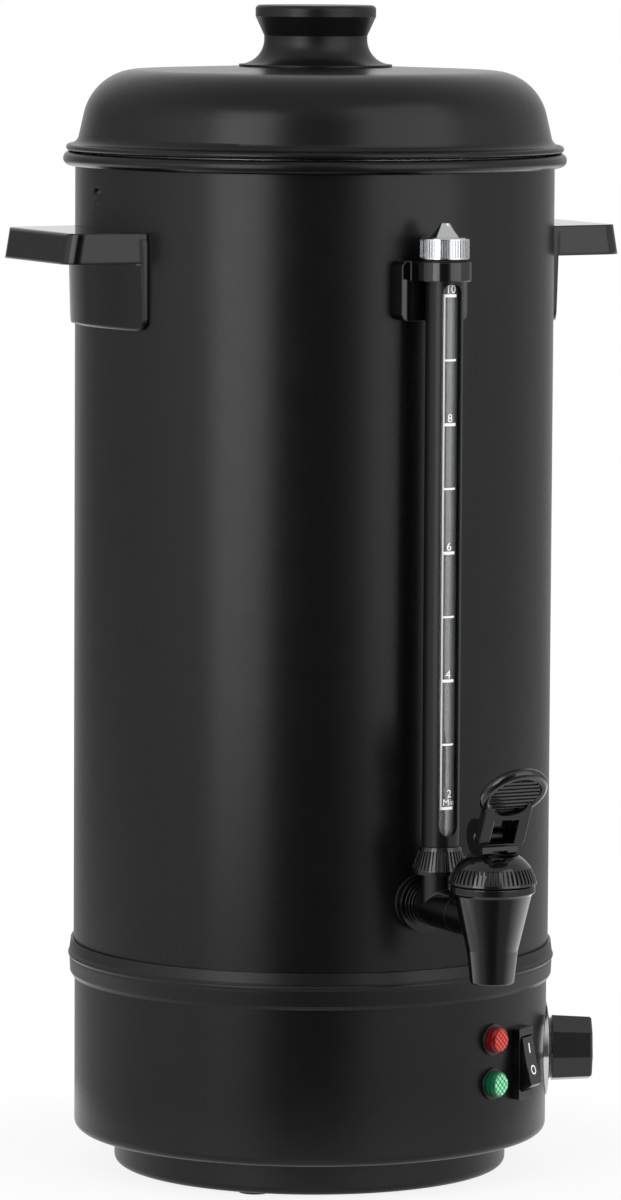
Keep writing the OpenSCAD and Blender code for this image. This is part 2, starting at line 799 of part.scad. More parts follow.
module handle() {
    lip_z = grip_top - handle_lip_h;
    plate_z = handle_top - handle_plate_h;
    boss_r = handle_r0 + handle_plate_t + 8;
    color("#141416") difference() {
        union() {
            intersection() {
                translate([0, 0, plate_z]) cylinder(h = handle_plate_h, r1 = handle_r0 + handle_foot_t,
                    r2 = handle_r0 + handle_plate_t, $fn = 360);
                outward_slab(0, handle_r1, plate_z + handle_plate_h / 2)
                    round_rect(handle_w, handle_plate_h, 5);
            }
            difference() {
                intersection() {
                    grip_draw(0);
                    translate([-handle_w, -handle_r1, lip_z]) cube([2 * handle_w, handle_r1, handle_lip_h]);
                }
                difference() {
                    intersection() {
                        grip_draw(handle_t);
                        translate([-handle_w, -handle_r1, lip_z - 1])
                            cube([2 * handle_w, handle_r1, handle_lip_h + 1 - handle_t]);
                    }
                    wall_drum(handle_r0 + handle_foot_t / 2);
                }
                grip_edge();
            }
            for (side = [-1, 1])
                facing(side * handle_screw_angle)
                    outward_rod(body_r - 1, boss_r, handle_screw_z, 9.6);
        }
        wall_drum(handle_r0);
        for (side = [-1, 1])
            facing(side * handle_screw_angle)
                outward_rod(body_r - 1, boss_r - 2, handle_screw_z, screw_d + 2 * run_gap);
    }
}

module handle_left() facing(handle_bearings[0]) handle();

module handle_right() facing(handle_bearings[1]) handle();

module handle_screws() {
    color("#b9bcc0") for (bearing = handle_bearings, side = [-1, 1])
        wall_screw(bearing + side * handle_screw_angle, handle_screw_z, tank_ri, 9);
}

// Gauge
module gauge_bracket() {
    color("#141416") difference() {
        union() {
            outward_slab(body_r - 3, body_r + bracket_t, bracket_top - bracket_h / 2)
                round_rect(bracket_w, bracket_h, 3);
            translate([0, -gauge_r, bracket_top - eye_h]) cylinder(h = eye_h, d = eye_d);
            translate([-eye_d / 2, -gauge_r, bracket_top - eye_h])
                cube([eye_d, gauge_stand - bracket_t + 1, eye_h]);
        }
        wall_drum(body_r + seat_gap);
        translate([0, -gauge_r, bracket_top - eye_h - 1])
            cylinder(h = eye_h + 1 - eye_lip, d = shield_d + 2 * seat_gap);
        translate([0, -gauge_r, bracket_top - eye_h]) cylinder(h = 2 * eye_h, d = sight_d + 0.8);
        for (side = [-1, 1])
            facing(side * bracket_screw_angle)
                outward_rod(body_r - 4, body_r + bracket_t - 2, bracket_screw_z, screw_d + 2 * run_gap);
    }
}

module bracket_screws() {
    color("#b9bcc0") for (side = [-1, 1])
        wall_screw(side * bracket_screw_angle, bracket_screw_z, tank_ri, tank_wall + bracket_t - 3);
}

module gauge_shield() {
    slot_foot = shield_foot + slot_lift + slot_w / 2;
    slot_top = bracket_top - eye_h - 1 - slot_w / 2;
    color("#1d1e20") translate([0, -gauge_r, 0]) difference() {
        translate([0, 0, shield_foot]) cylinder(h = shield_top - shield_foot, d = shield_d);
        translate([0, 0, shield_foot - 1]) cylinder(h = shield_top, d = shield_bore);
        outward_slab(0, shield_d, 0) {
            translate([-slot_w / 2, slot_foot]) square([slot_w, slot_top - slot_foot]);
            translate([0, slot_foot]) circle(d = slot_w);
            translate([0, slot_top]) circle(d = slot_w);
        }
    }
}

module sight_tube() {
    color("#c9d2d6", 0.5) translate([0, -gauge_r, sight_foot]) difference() {
        cylinder(h = sight_top - sight_foot, d = sight_d);
        translate([0, 0, -1]) cylinder(h = sight_top, d = sight_d - 2 * sight_wall);
    }
}

module gauge_seal() {
    color("#d8d4cc") translate([0, -gauge_r, sight_foot - seat_gap - sight_seal_t]) difference() {
        cylinder(h = sight_seal_t, d = sight_d);
        translate([0, 0, -1]) cylinder(h = sight_seal_t + 2, d = sight_d - 3);
    }
}

module gauge_cap() {
    nose_d = sight_d - 2 * sight_wall - 0.4;
    foot = cap_foot + seat_gap;
    band_top = foot + cap_band_h;
    r = cap_d / 2;
    flank = [cap_tip_r - cap_spire_r, cap_spire_h];
    flank_r = pow(norm(flank), 2) / (8 * cap_hollow) + cap_hollow / 2;
    flank_at = [cap_spire_r, band_top] + flank / 2
        + (flank_r - cap_hollow) * [flank[1], -flank[0]] / norm(flank);
    color("#d5d8dc") translate([0, -gauge_r, 0]) difference() {
        rotate_extrude() {
            polygon([
                [0, foot], [r - 0.4, foot], [r, foot + 0.4], [r, band_top - 0.6],
                [r - 0.8, band_top], [0, band_top]
            ]);
            // The spire's flank is hollow
            difference() {
                polygon([
                    [0, band_top - 0.1], [cap_spire_r, band_top - 0.1], [cap_spire_r, band_top],
                    [cap_tip_r, band_top + cap_spire_h], [0, band_top + cap_spire_h]
                ]);
                translate(flank_at) circle(r = flank_r, $fn = 360);
            }
            translate([0, shield_top + rest_gap]) square([sight_d / 2 + 0.35, foot - shield_top]);
            translate([0, sight_top - 5]) square([nose_d / 2, foot - sight_top + 5]);
        }
        cone_grooves(cap_ribs, [r, foot + 1], [r, band_top - 1], 0.7, 0.45);
    }
}

module gauge_cap_seal() {
    color("#2b2b2b") translate([0, -gauge_r, bracket_top + seat_gap]) difference() {
        cylinder(h = cap_seal_t - seat_gap, d = cap_d - 2.4);
        translate([0, 0, -1]) cylinder(h = 3, d = sight_d + 0.8);
    }
}

module gauge_nut() {
    foot = branch_top + seat_gap;
    h = nut_h - seat_gap;
    cone_foot = [nut_foot_d / 2, foot + 1.6];
    cone_top = [nut_top_d / 2, foot + h];
    color("#141416") translate([0, -gauge_r, 0]) difference() {
        rotate_extrude() polygon([
            [0, foot], [nut_foot_d / 2, foot], cone_foot, cone_top, [0, foot + h]
        ]);
        translate([0, 0, foot - 1])
            cylinder(h = gauge_spigot_h + 1.2, d = gauge_spigot_d + 2 * run_gap);
        translate([0, 0, foot]) cylinder(h = 2 * h, d = sight_d + 0.4);
        cone_grooves(nut_grooves, cone_foot + [-0.1, 0.4], cone_top - [-0.2, 1.8], 0.8, 0.6);
    }
}

// Tap
module tap_shank() {
    spigot_top = branch_top + gauge_spigot_h;
    color("#141416") difference() {
        union() {
            outward_rod(shank_nut_r - 3, collar_r0 + 1, shank_z, tail_d);
            outward_rod(collar_r0, collar_r0 + collar_t, shank_z, collar_d);
            outward_rod(collar_r0 + 1, collar_r0 + collar_t + collar_step, shank_z, collar_step_d);
            outward_rod(collar_r0 + 1, shank_end, shank_z, shank_d);
            translate([0, -gauge_r, shank_z]) cylinder(h = branch_top - shank_z, d = branch_d);
            translate([0, -gauge_r, shank_z]) cylinder(h = spigot_top - shank_z, d = gauge_spigot_d);
        }
        outward_rod(shank_nut_r - 5, shank_end + 1, shank_z, shank_bore);
        outward_rod(shank_end - spigot_l - 0.5, shank_end + 1, shank_z, spigot_d + 2 * run_gap);
        translate([0, -gauge_r, shank_z]) cylinder(h = 2 * shank_d, d = sight_d - 4);
        translate([0, -gauge_r, sight_foot - 2 * seat_gap - sight_seal_t])
            cylinder(h = 2 * shank_d, d = sight_d + 0.2);
    }
}

module shank_washers() {
    color("#d8d4cc") {
        difference() {
            outward_rod(body_r - 6, collar_r0 - seat_gap, shank_z, collar_d - 1);
            wall_drum(body_r + seat_gap);
            outward_rod(body_r - 8, collar_r0 + 4, shank_z, tail_d + 0.4);
        }
        difference() {
            intersection() {
                outward_rod(shank_nut_r + shank_nut_t + seat_gap, body_r, shank_z, collar_d - 1);
                wall_drum(tank_ri - seat_gap);
            }
            outward_rod(shank_nut_r, body_r + 4, shank_z, tail_d + 0.4);
        }
    }
}

module shank_nut() {
    color("#d8d4cc") difference() {
        translate([0, -shank_nut_r, shank_z]) rotate([90, 0, 0])
            cylinder(h = shank_nut_t, d = shank_nut_w, $fn = 6);
        outward_rod(shank_nut_r - 2, shank_nut_r + shank_nut_t + 2, shank_z, tail_d + 2 * run_gap);
    }
}

module tap_body() {
    collar_r = spout_collar_d / 2;
    outlet_r = outlet_d / 2;
    neck_r = outlet_r + 1.6;
    cone_top = spout_top - 4.4;
    cone_r = collar_r - 1.5;
    color("#141416") difference() {
        union() {
            translate([0, -tap_r, 0]) rotate_extrude() polygon([
                [0, outlet_z], [outlet_r - 0.5, outlet_z], [outlet_r, outlet_z + 0.5],
                [neck_r, spout_neck_z], [cone_r, cone_top], [collar_r, cone_top + 1.2],
                [collar_r, spout_top - 0.5], [collar_r - 0.5, spout_top], [0, spout_top]
            ]);
            outward_rod(shank_end + seat_gap, tap_r - neck_r, shank_z, shank_d);
            outward_rod(shank_end - spigot_l, shank_end + 2, shank_z, spigot_d);
        }
        outward_rod(shank_end - spigot_l - 1, tap_r, shank_z, shank_bore);
        translate([0, -tap_r, 0]) {
            translate([0, 0, outlet_z - 1]) cylinder(h = spout_top, d = outlet_bore);
            rotate_extrude() polygon([
                [0, seat_z], [cup_d / 2 + 0.8, seat_z], [cup_d / 2 + 0.8, seat_z + 3],
                [chamber_d / 2, spout_top - 7], [chamber_d / 2, spout_top + 1], [0, spout_top + 1]
            ]);
        }
    }
}

module bonnet_seal() {
    color("#d8d4cc") translate([0, -tap_r, spout_top + seat_gap]) difference() {
        cylinder(h = bonnet_seal_t - 2 * seat_gap, d = spout_collar_d - 2.4);
        translate([0, 0, -1]) cylinder(h = 3, d = chamber_d);
    }
}

module tap_bonnet() {
    foot_r = bonnet_d / 2;
    top_r = bonnet_top_d / 2;
    chord = [top_r - foot_r, bonnet_h];
    sag = sqrt(pow(bonnet_dome_r, 2) - pow(norm(chord) / 2, 2));
    dome_at = [foot_r, bonnet_foot] + chord / 2 + sag * [-chord[1], chord[0]] / norm(chord);
    groove_foot = bonnet_foot + 1;
    groove_top = bonnet_foot + 0.58 * bonnet_h;
    dome_r_at = function (z) dome_at[0] + sqrt(pow(bonnet_dome_r, 2) - pow(z - dome_at[1], 2));
    color("#141416") translate([0, -tap_r, 0]) difference() {
        union() {
            rotate_extrude() intersection() {
                translate(dome_at) circle(r = bonnet_dome_r);
                translate([0, bonnet_foot]) square([bonnet_d, bonnet_h]);
            }
            translate([0, 0, bonnet_foot - 5]) cylinder(h = 6, d = bonnet_spigot_d);
        }
        translate([0, 0, bonnet_foot - 6])
            cylinder(h = bonnet_ceiling - bonnet_foot + 6, d = spring_chamber_d);
        translate([0, 0, bonnet_foot]) cylinder(h = 2 * bonnet_h, d = norm([tongue_w, tongue_t]) + 0.6);
        cone_grooves(bonnet_grooves, [dome_r_at(groove_foot), groove_foot],
            [dome_r_at(groove_top), groove_top], 1.1, 0.7);
    }
}

module tap_stem() {
    cup_socket = cup_foot + 3.2;
    head_r = tongue_w / 2;
    color("#c9ccd0") translate([0, -tap_r, 0]) difference() {
        union() {
            translate([0, 0, cup_socket]) cylinder(h = bonnet_foot - cup_socket, d = stem_d);
            translate([0, 0, stem_collar_z]) cylinder(h = stem_collar_t, d = spring_d + 3);
            translate([-tongue_w / 2, -tongue_t / 2, bonnet_foot - 0.1])
                cube([tongue_w, tongue_t, pin_z - bonnet_foot]);
            translate([0, 0, pin_z]) side_slab(tongue_w) circle(r = head_r);
        }
        translate([-tongue_w, 0, pin_z]) rotate([0, 90, 0])
            cylinder(h = 2 * tongue_w, d = lever_pin_d + 2 * run_gap);
    }
}

module tap_seat_cup() {
    color("#e4e0d8") translate([0, -tap_r, 0]) difference() {
        rotate_extrude() polygon([
            [0, cup_foot], [cup_d / 2, cup_foot], [cup_d / 2, cup_foot + 1.6],
            [stem_d / 2 + 2, cup_foot + 5], [stem_d / 2 + 2, cup_foot + 7], [0, cup_foot + 7]
        ]);
        translate([0, 0, cup_foot + 3.1]) cylinder(h = 10, d = stem_d + 2 * run_gap);
    }
}

// Return spring: one tube along a helix, its ends closed by flat caps
function spring_point(t, a) =
    let (turn = 360 * spring_turns * t, z = spring_z0 + (spring_z1 - spring_z0) * t)
        [
            (spring_d / 2 + spring_wire / 2 * cos(a)) * cos(turn),
            (spring_d / 2 + spring_wire / 2 * cos(a)) * sin(turn),
            z + spring_wire / 2 * sin(a)
        ];

module tube_skin(rings, sides) {
    count = len(rings);
    points = [for (ring = rings) each ring];
    faces = concat(
        [for (i = [0 : count - 2], k = [0 : sides - 1])
            [i * sides + k, (i + 1) * sides + k, i * sides + (k + 1) % sides]],
        [for (i = [0 : count - 2], k = [0 : sides - 1])
            [i * sides + (k + 1) % sides, (i + 1) * sides + k, (i + 1) * sides + (k + 1) % sides]],
        [for (k = [1 : sides - 2]) [0, k, k + 1]],
        [for (k = [1 : sides - 2]) (count - 1) * sides * [1, 1, 1] + [0, k + 1, k]]
    );
    polyhedron(points, faces);
}

module tap_spring() {
    sides = 6;
    steps = 12 * spring_turns;
    color("#b9bcc0") translate([0, -tap_r, 0]) tube_skin(
        [
            for (i = [0 : steps])
                [for (k = [0 : sides - 1]) spring_point(i / steps, -k * 360 / sides)]
        ], sides);
}

module lever_pin() {
    color("#c9ccd0") translate([-lever_foot_w / 2 + 0.2, -tap_r, pin_z]) rotate([0, 90, 0])
        cylinder(h = lever_foot_w - 0.4, d = lever_pin_d);
}

// The thumb pad's own place: its y runs up the pad, its z out of the pad's face
module pad_place() {
    translate([0, -lever_face - 0.2, pad_plate_u]) rotate([90 + pad_tilt, 0, 0]) children();
}

// The lever is drawn about its pin; along the lean, z runs up the lever and -Y out of its face
module tap_lever() {
    far = 3 * heel_r;
    neck_foot = -0.5;
    neck_l = pad_plate_u - 5 - neck_foot;
    slot_step = -3;
    slot_top = tongue_w / 2 + 1.2;
    ring_r = pad_plate_d / 2 - pad_bead_r;
    recess_r = ring_r - 1.8;
    rib_pitch = 2 * recess_r / (pad_ribs + 1);
    window = [12, 12];
    color("#141416") translate([0, -tap_r, pin_z]) difference() {
        union() {
            // Foot with round heel and cam
            side_slab(lever_foot_w) intersection() {
                union() {
                    circle(r = heel_r);
                    translate([cam_offset, 0]) circle(r = heel_r);
                    translate([0, -heel_r]) square([cam_offset, 2 * heel_r]);
                }
                translate([-2 * heel_r, -2 * heel_r]) square([2 * heel_r + lever_front, 4 * heel_r]);
            }
            rotate([lever_lean, 0, 0]) {
                // Neck
                outward_slab(lever_face - lever_neck_t, lever_face, neck_foot + neck_l / 2)
                    round_rect(lever_neck_w, neck_l, 2.5);
                // Thumb pad with a bead round its edge
                pad_place() rotate_extrude() {
                    translate([0, -1.6]) square([ring_r, 3.4]);
                    translate([ring_r, 0]) circle(r = pad_bead_r);
                }
            }
        }
        // Recess of the pad, with ribs across it, and the window under it
        rotate([lever_lean, 0, 0]) {
            pad_place() difference() {
                translate([0, 0, 1]) cylinder(h = 5, r = recess_r);
                for (i = [1 : pad_ribs])
                    translate([-recess_r, -recess_r + (i - 0.25) * rib_pitch, -1])
                        cube([2 * recess_r, rib_pitch / 2, 2.8]);
            }
            translate([-window[0] / 2, -far, 0.6]) cube([window[0], far - 1.5, window[1]]);
        }
        // Slot for the stem, closed in front by a low wall
        side_slab(lever_slot_w) polygon([
            [-far, -far], [far, -far], [far, lever_slot_foot], [lever_slot_front, lever_slot_foot],
            [lever_slot_front, slot_step], [slot_top, slot_top], [-far, slot_top]
        ]);
        translate([-lever_foot_w, 0, 0]) rotate([0, 90, 0])
            cylinder(h = 2 * lever_foot_w, d = lever_pin_d + 2 * run_gap);
    }
}

// Controls
module lamp_holders() {
    color("#161616") facing(lamp_bearing) for (k = [0, 1]) difference() {
        z = lamp_low_z + k * lamp_pitch;
        union() {
            difference() {
                outward_rod(shell_r - 3, shell_r + lamp_flange_t, z, lamp_flange_d);
                wall_drum(shell_r + seat_gap);
            }
            outward_rod(shell_r - lamp_depth, shell_r + lamp_flange_t, z, lamp_neck_d);
        }
        outward_rod(shell_r - lamp_depth + 2, shell_r + 5, z, lamp_neck_d - 3);
    }
}

module lens(z) {
    facing(lamp_bearing) translate([0, -shell_r - lamp_flange_t - seat_gap, z]) rotate([90, 0, 0]) {
        rotate_extrude() polygon([
            [0, 0], [lens_d / 2, 0], [lens_d / 2, lens_h - 1.4], [lens_d / 2 - 1.2, lens_h], [0, lens_h]
        ]);
        translate([0, 0, -6]) cylinder(h = 6.1, d = lamp_neck_d - 3 - 2 * run_gap);
    }
}

module red_lens() color("#d8392b") lens(lamp_low_z + lamp_pitch);

module green_lens() color("#4fae74") lens(lamp_low_z);

module switch_frame() {
    color("#1b1b1d") facing(switch_bearing) difference() {
        union() {
            difference() {
                outward_slab(shell_r - 4, switch_face, switch_z) round_rect(switch_w, switch_h, 1);
                wall_drum(shell_r + seat_gap);
            }
            outward_slab(shell_r - switch_depth, switch_face - 0.5, switch_z)
                square([switch_box_w, switch_box_h], center = true);
        }
        outward_slab(rocker_pin_r - rocker_r, switch_face + 1, switch_z)
            square([switch_slot_w, switch_slot_h], center = true);
        translate([-switch_w, -rocker_pin_r, switch_z]) rotate([0, 90, 0])
            cylinder(h = 2 * switch_w, d = rocker_pin_d + 2 * run_gap);
    }
}

module switch_pin() {
    color("#b9bcc0") facing(switch_bearing) translate([-switch_box_w / 2, -rocker_pin_r, switch_z])
        rotate([0, 90, 0]) cylinder(h = switch_box_w, d = rocker_pin_d);
}

// The rocker rests with its upper half pressed in
module switch_rocker() {
    color("#1b1b1d") facing(switch_bearing) translate([0, -rocker_pin_r, switch_z]) difference() {
        side_slab(switch_slot_w - 0.6) rotate(rocker_tilt) intersection() {
            circle(r = rocker_r);
            polygon([
                [-3, -rocker_r], [rocker_rise + rocker_r * tan(rocker_dip), -rocker_r], [rocker_rise, 0],
                [rocker_rise + rocker_r * tan(rocker_dip), rocker_r], [-3, rocker_r]
            ]);
        }
        translate([-switch_w, 0, 0]) rotate([0, 90, 0])
            cylinder(h = 2 * switch_w, d = rocker_pin_d + 2 * run_gap);
    }
}

module thermostat_rosette() {
    bore_r = bushing_d / 2 + 0.15;
    rim = 0.4;
    color("#d5d8dc") facing(dial_bearing) difference() {
        translate([0, -shell_r, dial_z]) rotate([90, 0, 0]) rotate_extrude() polygon([
            [bore_r, -4], [rosette_d / 2, -4], [rosette_d / 2, rim],
            [dial_d / 2, rosette_h], [bore_r, rosette_h]
        ]);
        wall_drum(shell_r + seat_gap);
    }
}

module thermostat_nut() {
    color("#b9bcc0") facing(dial_bearing) difference() {
        translate([0, -rosette_face - seat_gap, dial_z]) rotate([90, 0, 0])
            cylinder(h = bushing_nut_t, d = bushing_nut_w, $fn = 6);
        outward_rod(shell_r, shell_r + 12, dial_z, bushing_d + 2 * run_gap);
    }
}

module thermostat_knob() {
    collar_d = dial_d - 3.5;
    end_d = dial_d - 1.7;
    edge = 0.8;
    color("#141416") facing(dial_bearing) difference() {
        translate([0, -dial_foot, dial_z]) rotate([90, 0, 0]) {
            cylinder(h = 3, d = collar_d);
            rotate([0, 0, dial_turn]) {
                translate([0, 0, 0.9]) cylinder(h = dial_l - edge, d1 = dial_d, d2 = end_d, $fn = 8);
                translate([0, 0, 0.9 + dial_l - edge])
                    cylinder(h = edge, d1 = end_d, d2 = end_d - 2 * edge, $fn = 8);
            }
        }
        outward_rod(dial_foot - 1, dial_foot + 5.5, dial_z, bushing_nut_w + 3);
        outward_rod(dial_foot, dial_foot + dial_l - 2, dial_z, dial_shaft_d + 2 * run_gap);
    }
}

module thermostat_shaft() {
    color("#b9bcc0") facing(dial_bearing)
        outward_rod(thermostat_face - 4, dial_foot + dial_l - 3, dial_z, dial_shaft_d);
}

module thermostat_body() {
    color("#d9d6cd") facing(dial_bearing) difference() {
        union() {
            outward_slab(thermostat_back, thermostat_face, dial_z)
                square([thermostat_w, thermostat_h], center = true);
            intersection() {
                outward_rod(thermostat_face - 1, shell_r, dial_z, bushing_d + 8);
                wall_drum(shell_ri - seat_gap);
            }
            outward_rod(thermostat_face - 1, rosette_face + bushing_l, dial_z, bushing_d);
        }
        outward_rod(thermostat_face - 5, rosette_face + bushing_l + 1, dial_z, dial_shaft_d + 2 * run_gap);
    }
}

module thermostat_bulb() {
    bulb_z = (plate_top + plate_foot) / 2;
    tip_r = plate_d / 2 - bulb_l + 4;
    bend_r = (thermostat_back + thermostat_face) / 2 - capillary_bend;
    entry_z = dial_z + thermostat_h / 2 + seat_gap;
    color("#c08a4a") facing(dial_bearing) {
        outward_rod(tip_r, plate_d / 2 + 4, bulb_z, bulb_d - 2 * run_gap);
        outward_rod(plate_d / 2 + 3, bend_r, bulb_z, capillary_d);
        translate([0, -bend_r, bulb_z - capillary_bend]) rotate([90, 0, -90]) rotate_extrude(angle = 90)
            translate([capillary_bend, 0]) circle(d = capillary_d);
        translate([0, -bend_r - capillary_bend, entry_z])
            cylinder(h = bulb_z - capillary_bend - entry_z, d = capillary_d);
    }
}

// Heater and wiring
module heating_plate() {
    post_foot = element_z - element_d / 2 - element_post_h;
    color("#a9adb2") difference() {
        union() {
            translate([0, 0, plate_foot]) cylinder(h = plate_t, d = plate_d);
            translate([0, 0, element_z]) rotate_extrude()
                translate([element_ring_d / 2, 0]) circle(d = element_d);
            for (bearing = element_post_bearings)
                facing(bearing) translate([0, -element_ring_d / 2, post_foot])
                    cylinder(h = element_z - post_foot, d = 5);
        }
        translate([0, 0, plate_foot - 1]) cylinder(h = plate_t + 2, d = heater_stud_d + 0.4);
        facing(dial_bearing)
            outward_rod(plate_d / 2 - bulb_l + 3, plate_d / 2 + 5, (plate_top + plate_foot) / 2, bulb_d);
    }
}

module heater_clamp() {
    color("#b9bcc0") difference() {
        translate([-clamp_l / 2, -clamp_w / 2, clamp_top - clamp_t]) cube([clamp_l, clamp_w, clamp_t]);
        translate([0, 0, clamp_top - clamp_t - 1]) cylinder(h = clamp_t + 2, d = heater_stud_d + 0.4);
    }
}

module clamp_nut() {
    color("#b9bcc0") translate([0, 0, clamp_top - clamp_t - seat_gap - clamp_nut_t]) difference() {
        cylinder(h = clamp_nut_t, d = 11.5, $fn = 6);
        translate([0, 0, -1]) cylinder(h = clamp_nut_t + 2, d = heater_stud_d + 2 * run_gap);
    }
}

module thermal_cutout() {
    top = plate_foot - seat_gap;
    color("#2b2b2b") translate([cutout_at[0], cutout_at[1], top - cutout_h]) {
        cylinder(h = cutout_h, d = cutout_d);
        for (side = [-1, 1])
            translate([side * 4 - 0.4, -3, -7]) cube([0.8, 6, 7.5]);
    }
}

module terminal_block() {
    color("#e2e0da") translate([terminal_at[0], terminal_at[1], terminal_z]) difference() {
        translate([-terminal_size[0] / 2, -terminal_size[1] / 2, 0]) cube(terminal_size);
        for (i = [-1, 0, 1])
            translate([i * 11, 0, terminal_size[2] - 6]) cylinder(h = 8, d = 6);
    }
}

module power_inlet() {
    color("#161616") facing(180) difference() {
        union() {
            difference() {
                outward_slab(shell_r - 5, inlet_face, inlet_z) round_rect(inlet_w, inlet_h, 2);
                wall_drum(shell_r + seat_gap);
            }
            outward_slab(shell_r - inlet_depth, inlet_face - 0.5, inlet_z)
                square([inlet_box_w, inlet_box_h], center = true);
        }
        outward_slab(shell_r - 15, inlet_face + 1, inlet_z) round_rect(24, 16.4, 2.5);
        for (i = [-1, 0, 1])
            outward_slab(shell_r - inlet_depth - 1, shell_r, inlet_z)
                translate([i * 7, i == 0 ? 2 : -2]) square([2.1, 4.1], center = true);
    }
}

module inlet_pins() {
    color("#c9ccd0") facing(180) for (i = [-1, 0, 1])
        outward_slab(shell_r - inlet_depth - 6, shell_r - 1, inlet_z)
            translate([i * 7, i == 0 ? 2 : -2]) square([2, 4], center = true);
}

// A point at a bearing, and the inward direction there
function at_bearing(bearing, r, z) = [r * sin(bearing), -r * cos(bearing), z];

function inward_at(bearing) = [-sin(bearing), cos(bearing), 0];

// A wire leaves its first terminal along one direction and meets its last along another
function wire_point(p, t) =
    pow(1 - t, 3) * p[0] + 3 * t * pow(1 - t, 2) * p[1] + 3 * t * t * (1 - t) * p[2] + pow(t, 3) * p[3];

function wire_slope(p, t) =
    pow(1 - t, 2) * (p[1] - p[0]) + 2 * t * (1 - t) * (p[2] - p[1]) + t * t * (p[3] - p[2]);

module wire(from, out, to, back, slack) {
    sides = 6;
    steps = 12;
    p0 = from + seat_gap * out;
    p3 = to + seat_gap * back;
    p = [p0, p0 + slack * out, p3 + slack * back, p3];
    across = cross(to - from, out);
    tube_skin([
        for (i = [0 : steps])
            let (
                t = i / steps,
                along = wire_slope(p, t) / norm(wire_slope(p, t)),
                side = cross(along, across) / norm(cross(along, across)),
                up = cross(along, side)
            )
            [
                for (k = [0 : sides - 1])
                    wire_point(p, t) + wire_d / 2 * (cos(k * 360 / sides) * side + sin(k * 360 / sides) * up)
            ]
    ], sides);
}

module wiring() {
    down = [0, 0, -1];
    up = [0, 0, 1];
    inlet_tail = shell_r - inlet_depth - 6;
    switch_back = shell_r - switch_depth;
    lamp_back = shell_r - lamp_depth;
    live = [7, inlet_tail, inlet_z - 2];
    neutral = [-7, inlet_tail, inlet_z - 2];
    earth = [0, inlet_tail, inlet_z + 2];
    posts = [
        for (b = element_post_bearings)
            at_bearing(b, element_ring_d / 2, element_z - element_d / 2 - element_post_h)
    ];
    tabs = [
        for (side = [-1, 1])
            [cutout_at[0] + side * 4, cutout_at[1], plate_foot - seat_gap - cutout_h - 7]
    ];
    screws = [
        for (i = [-1, 0, 1])
            [terminal_at[0] + i * 11, terminal_at[1], terminal_z + terminal_size[2] - 6]
    ];
    from_switch = inward_at(switch_bearing);
    from_dial = inward_at(dial_bearing);
    from_lamp = inward_at(lamp_bearing);
    color("#b5523a") {
        wire(live, [0, -1, 0], at_bearing(switch_bearing, switch_back, switch_z - 8), from_switch, 40);
        wire(at_bearing(switch_bearing, switch_back, switch_z + 8), from_switch,
            at_bearing(dial_bearing, thermostat_back, dial_z + 8), from_dial, 20);
        wire(at_bearing(dial_bearing, thermostat_back, dial_z - 8), from_dial, tabs[1], down, 30);
        wire(tabs[0], down, posts[0], down, 25);
        wire(posts[1], down, screws[1], up, 25);
        wire(neutral, [0, -1, 0], screws[2], up, 22);
        wire(earth, [0, -1, 0], screws[0], up, 28);
        for (k = [0, 1])
            wire(at_bearing(lamp_bearing, lamp_back, lamp_low_z + k * lamp_pitch), from_lamp,
                at_bearing(switch_bearing, switch_back, switch_z + (k == 0 ? -3 : 3)), from_switch, 10);
    }
}

lid_dome();
lid_lock_ring();
lid_knob();
lid_knob_washer();
lid_knob_screw();
tank();
tank_floor();
weld_studs();
joint_band();
base_shell();
foot_pan();
foot_pads();
tie_nuts();
handle_left();
handle_right();
handle_screws();
gauge_bracket();
bracket_screws();
gauge_shield();
sight_tube();
gauge_cap();
gauge_cap_seal();
gauge_nut();
gauge_seal();
tap_shank();
shank_washers();
shank_nut();
tap_body();
bonnet_seal();
tap_bonnet();
tap_stem();
tap_seat_cup();
tap_spring();
lever_pin();
tap_lever();
lamp_holders();
red_lens();
green_lens();
switch_frame();
switch_pin();
switch_rocker();
thermostat_rosette();
thermostat_knob();
thermostat_shaft();
thermostat_nut();
thermostat_body();
thermostat_bulb();
heating_plate();
heater_clamp();
clamp_nut();
thermal_cutout();
terminal_block();
power_inlet();
inlet_pins();
wiring();
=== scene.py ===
# %% [markdown]
# # A hot water urn
# The urn comes from the CAD model as a set of solids in metres, one object per real piece,
# already grouped into the bodies that move. Blender's work is the looks: the camera, the
# studio, the finishes, the thin printed marks that no solid carries, and a wound spring.

# %% Load the frame
import math

import bmesh
import bpy
import numpy as np
from mathutils import Matrix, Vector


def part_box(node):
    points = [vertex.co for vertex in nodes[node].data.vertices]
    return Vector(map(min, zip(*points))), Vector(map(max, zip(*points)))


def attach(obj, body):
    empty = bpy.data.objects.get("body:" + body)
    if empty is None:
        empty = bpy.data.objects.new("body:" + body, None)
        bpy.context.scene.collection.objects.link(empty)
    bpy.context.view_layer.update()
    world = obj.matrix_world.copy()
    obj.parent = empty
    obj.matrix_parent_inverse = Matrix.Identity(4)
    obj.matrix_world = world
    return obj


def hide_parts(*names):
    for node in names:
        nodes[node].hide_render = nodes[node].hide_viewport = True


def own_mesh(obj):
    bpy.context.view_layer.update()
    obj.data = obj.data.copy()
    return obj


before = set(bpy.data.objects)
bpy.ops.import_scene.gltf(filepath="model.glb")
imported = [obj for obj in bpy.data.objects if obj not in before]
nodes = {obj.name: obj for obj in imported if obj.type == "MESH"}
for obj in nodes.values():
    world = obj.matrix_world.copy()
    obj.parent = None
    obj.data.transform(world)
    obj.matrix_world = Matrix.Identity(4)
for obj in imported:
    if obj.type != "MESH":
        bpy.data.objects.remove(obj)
scene = bpy.context.scene
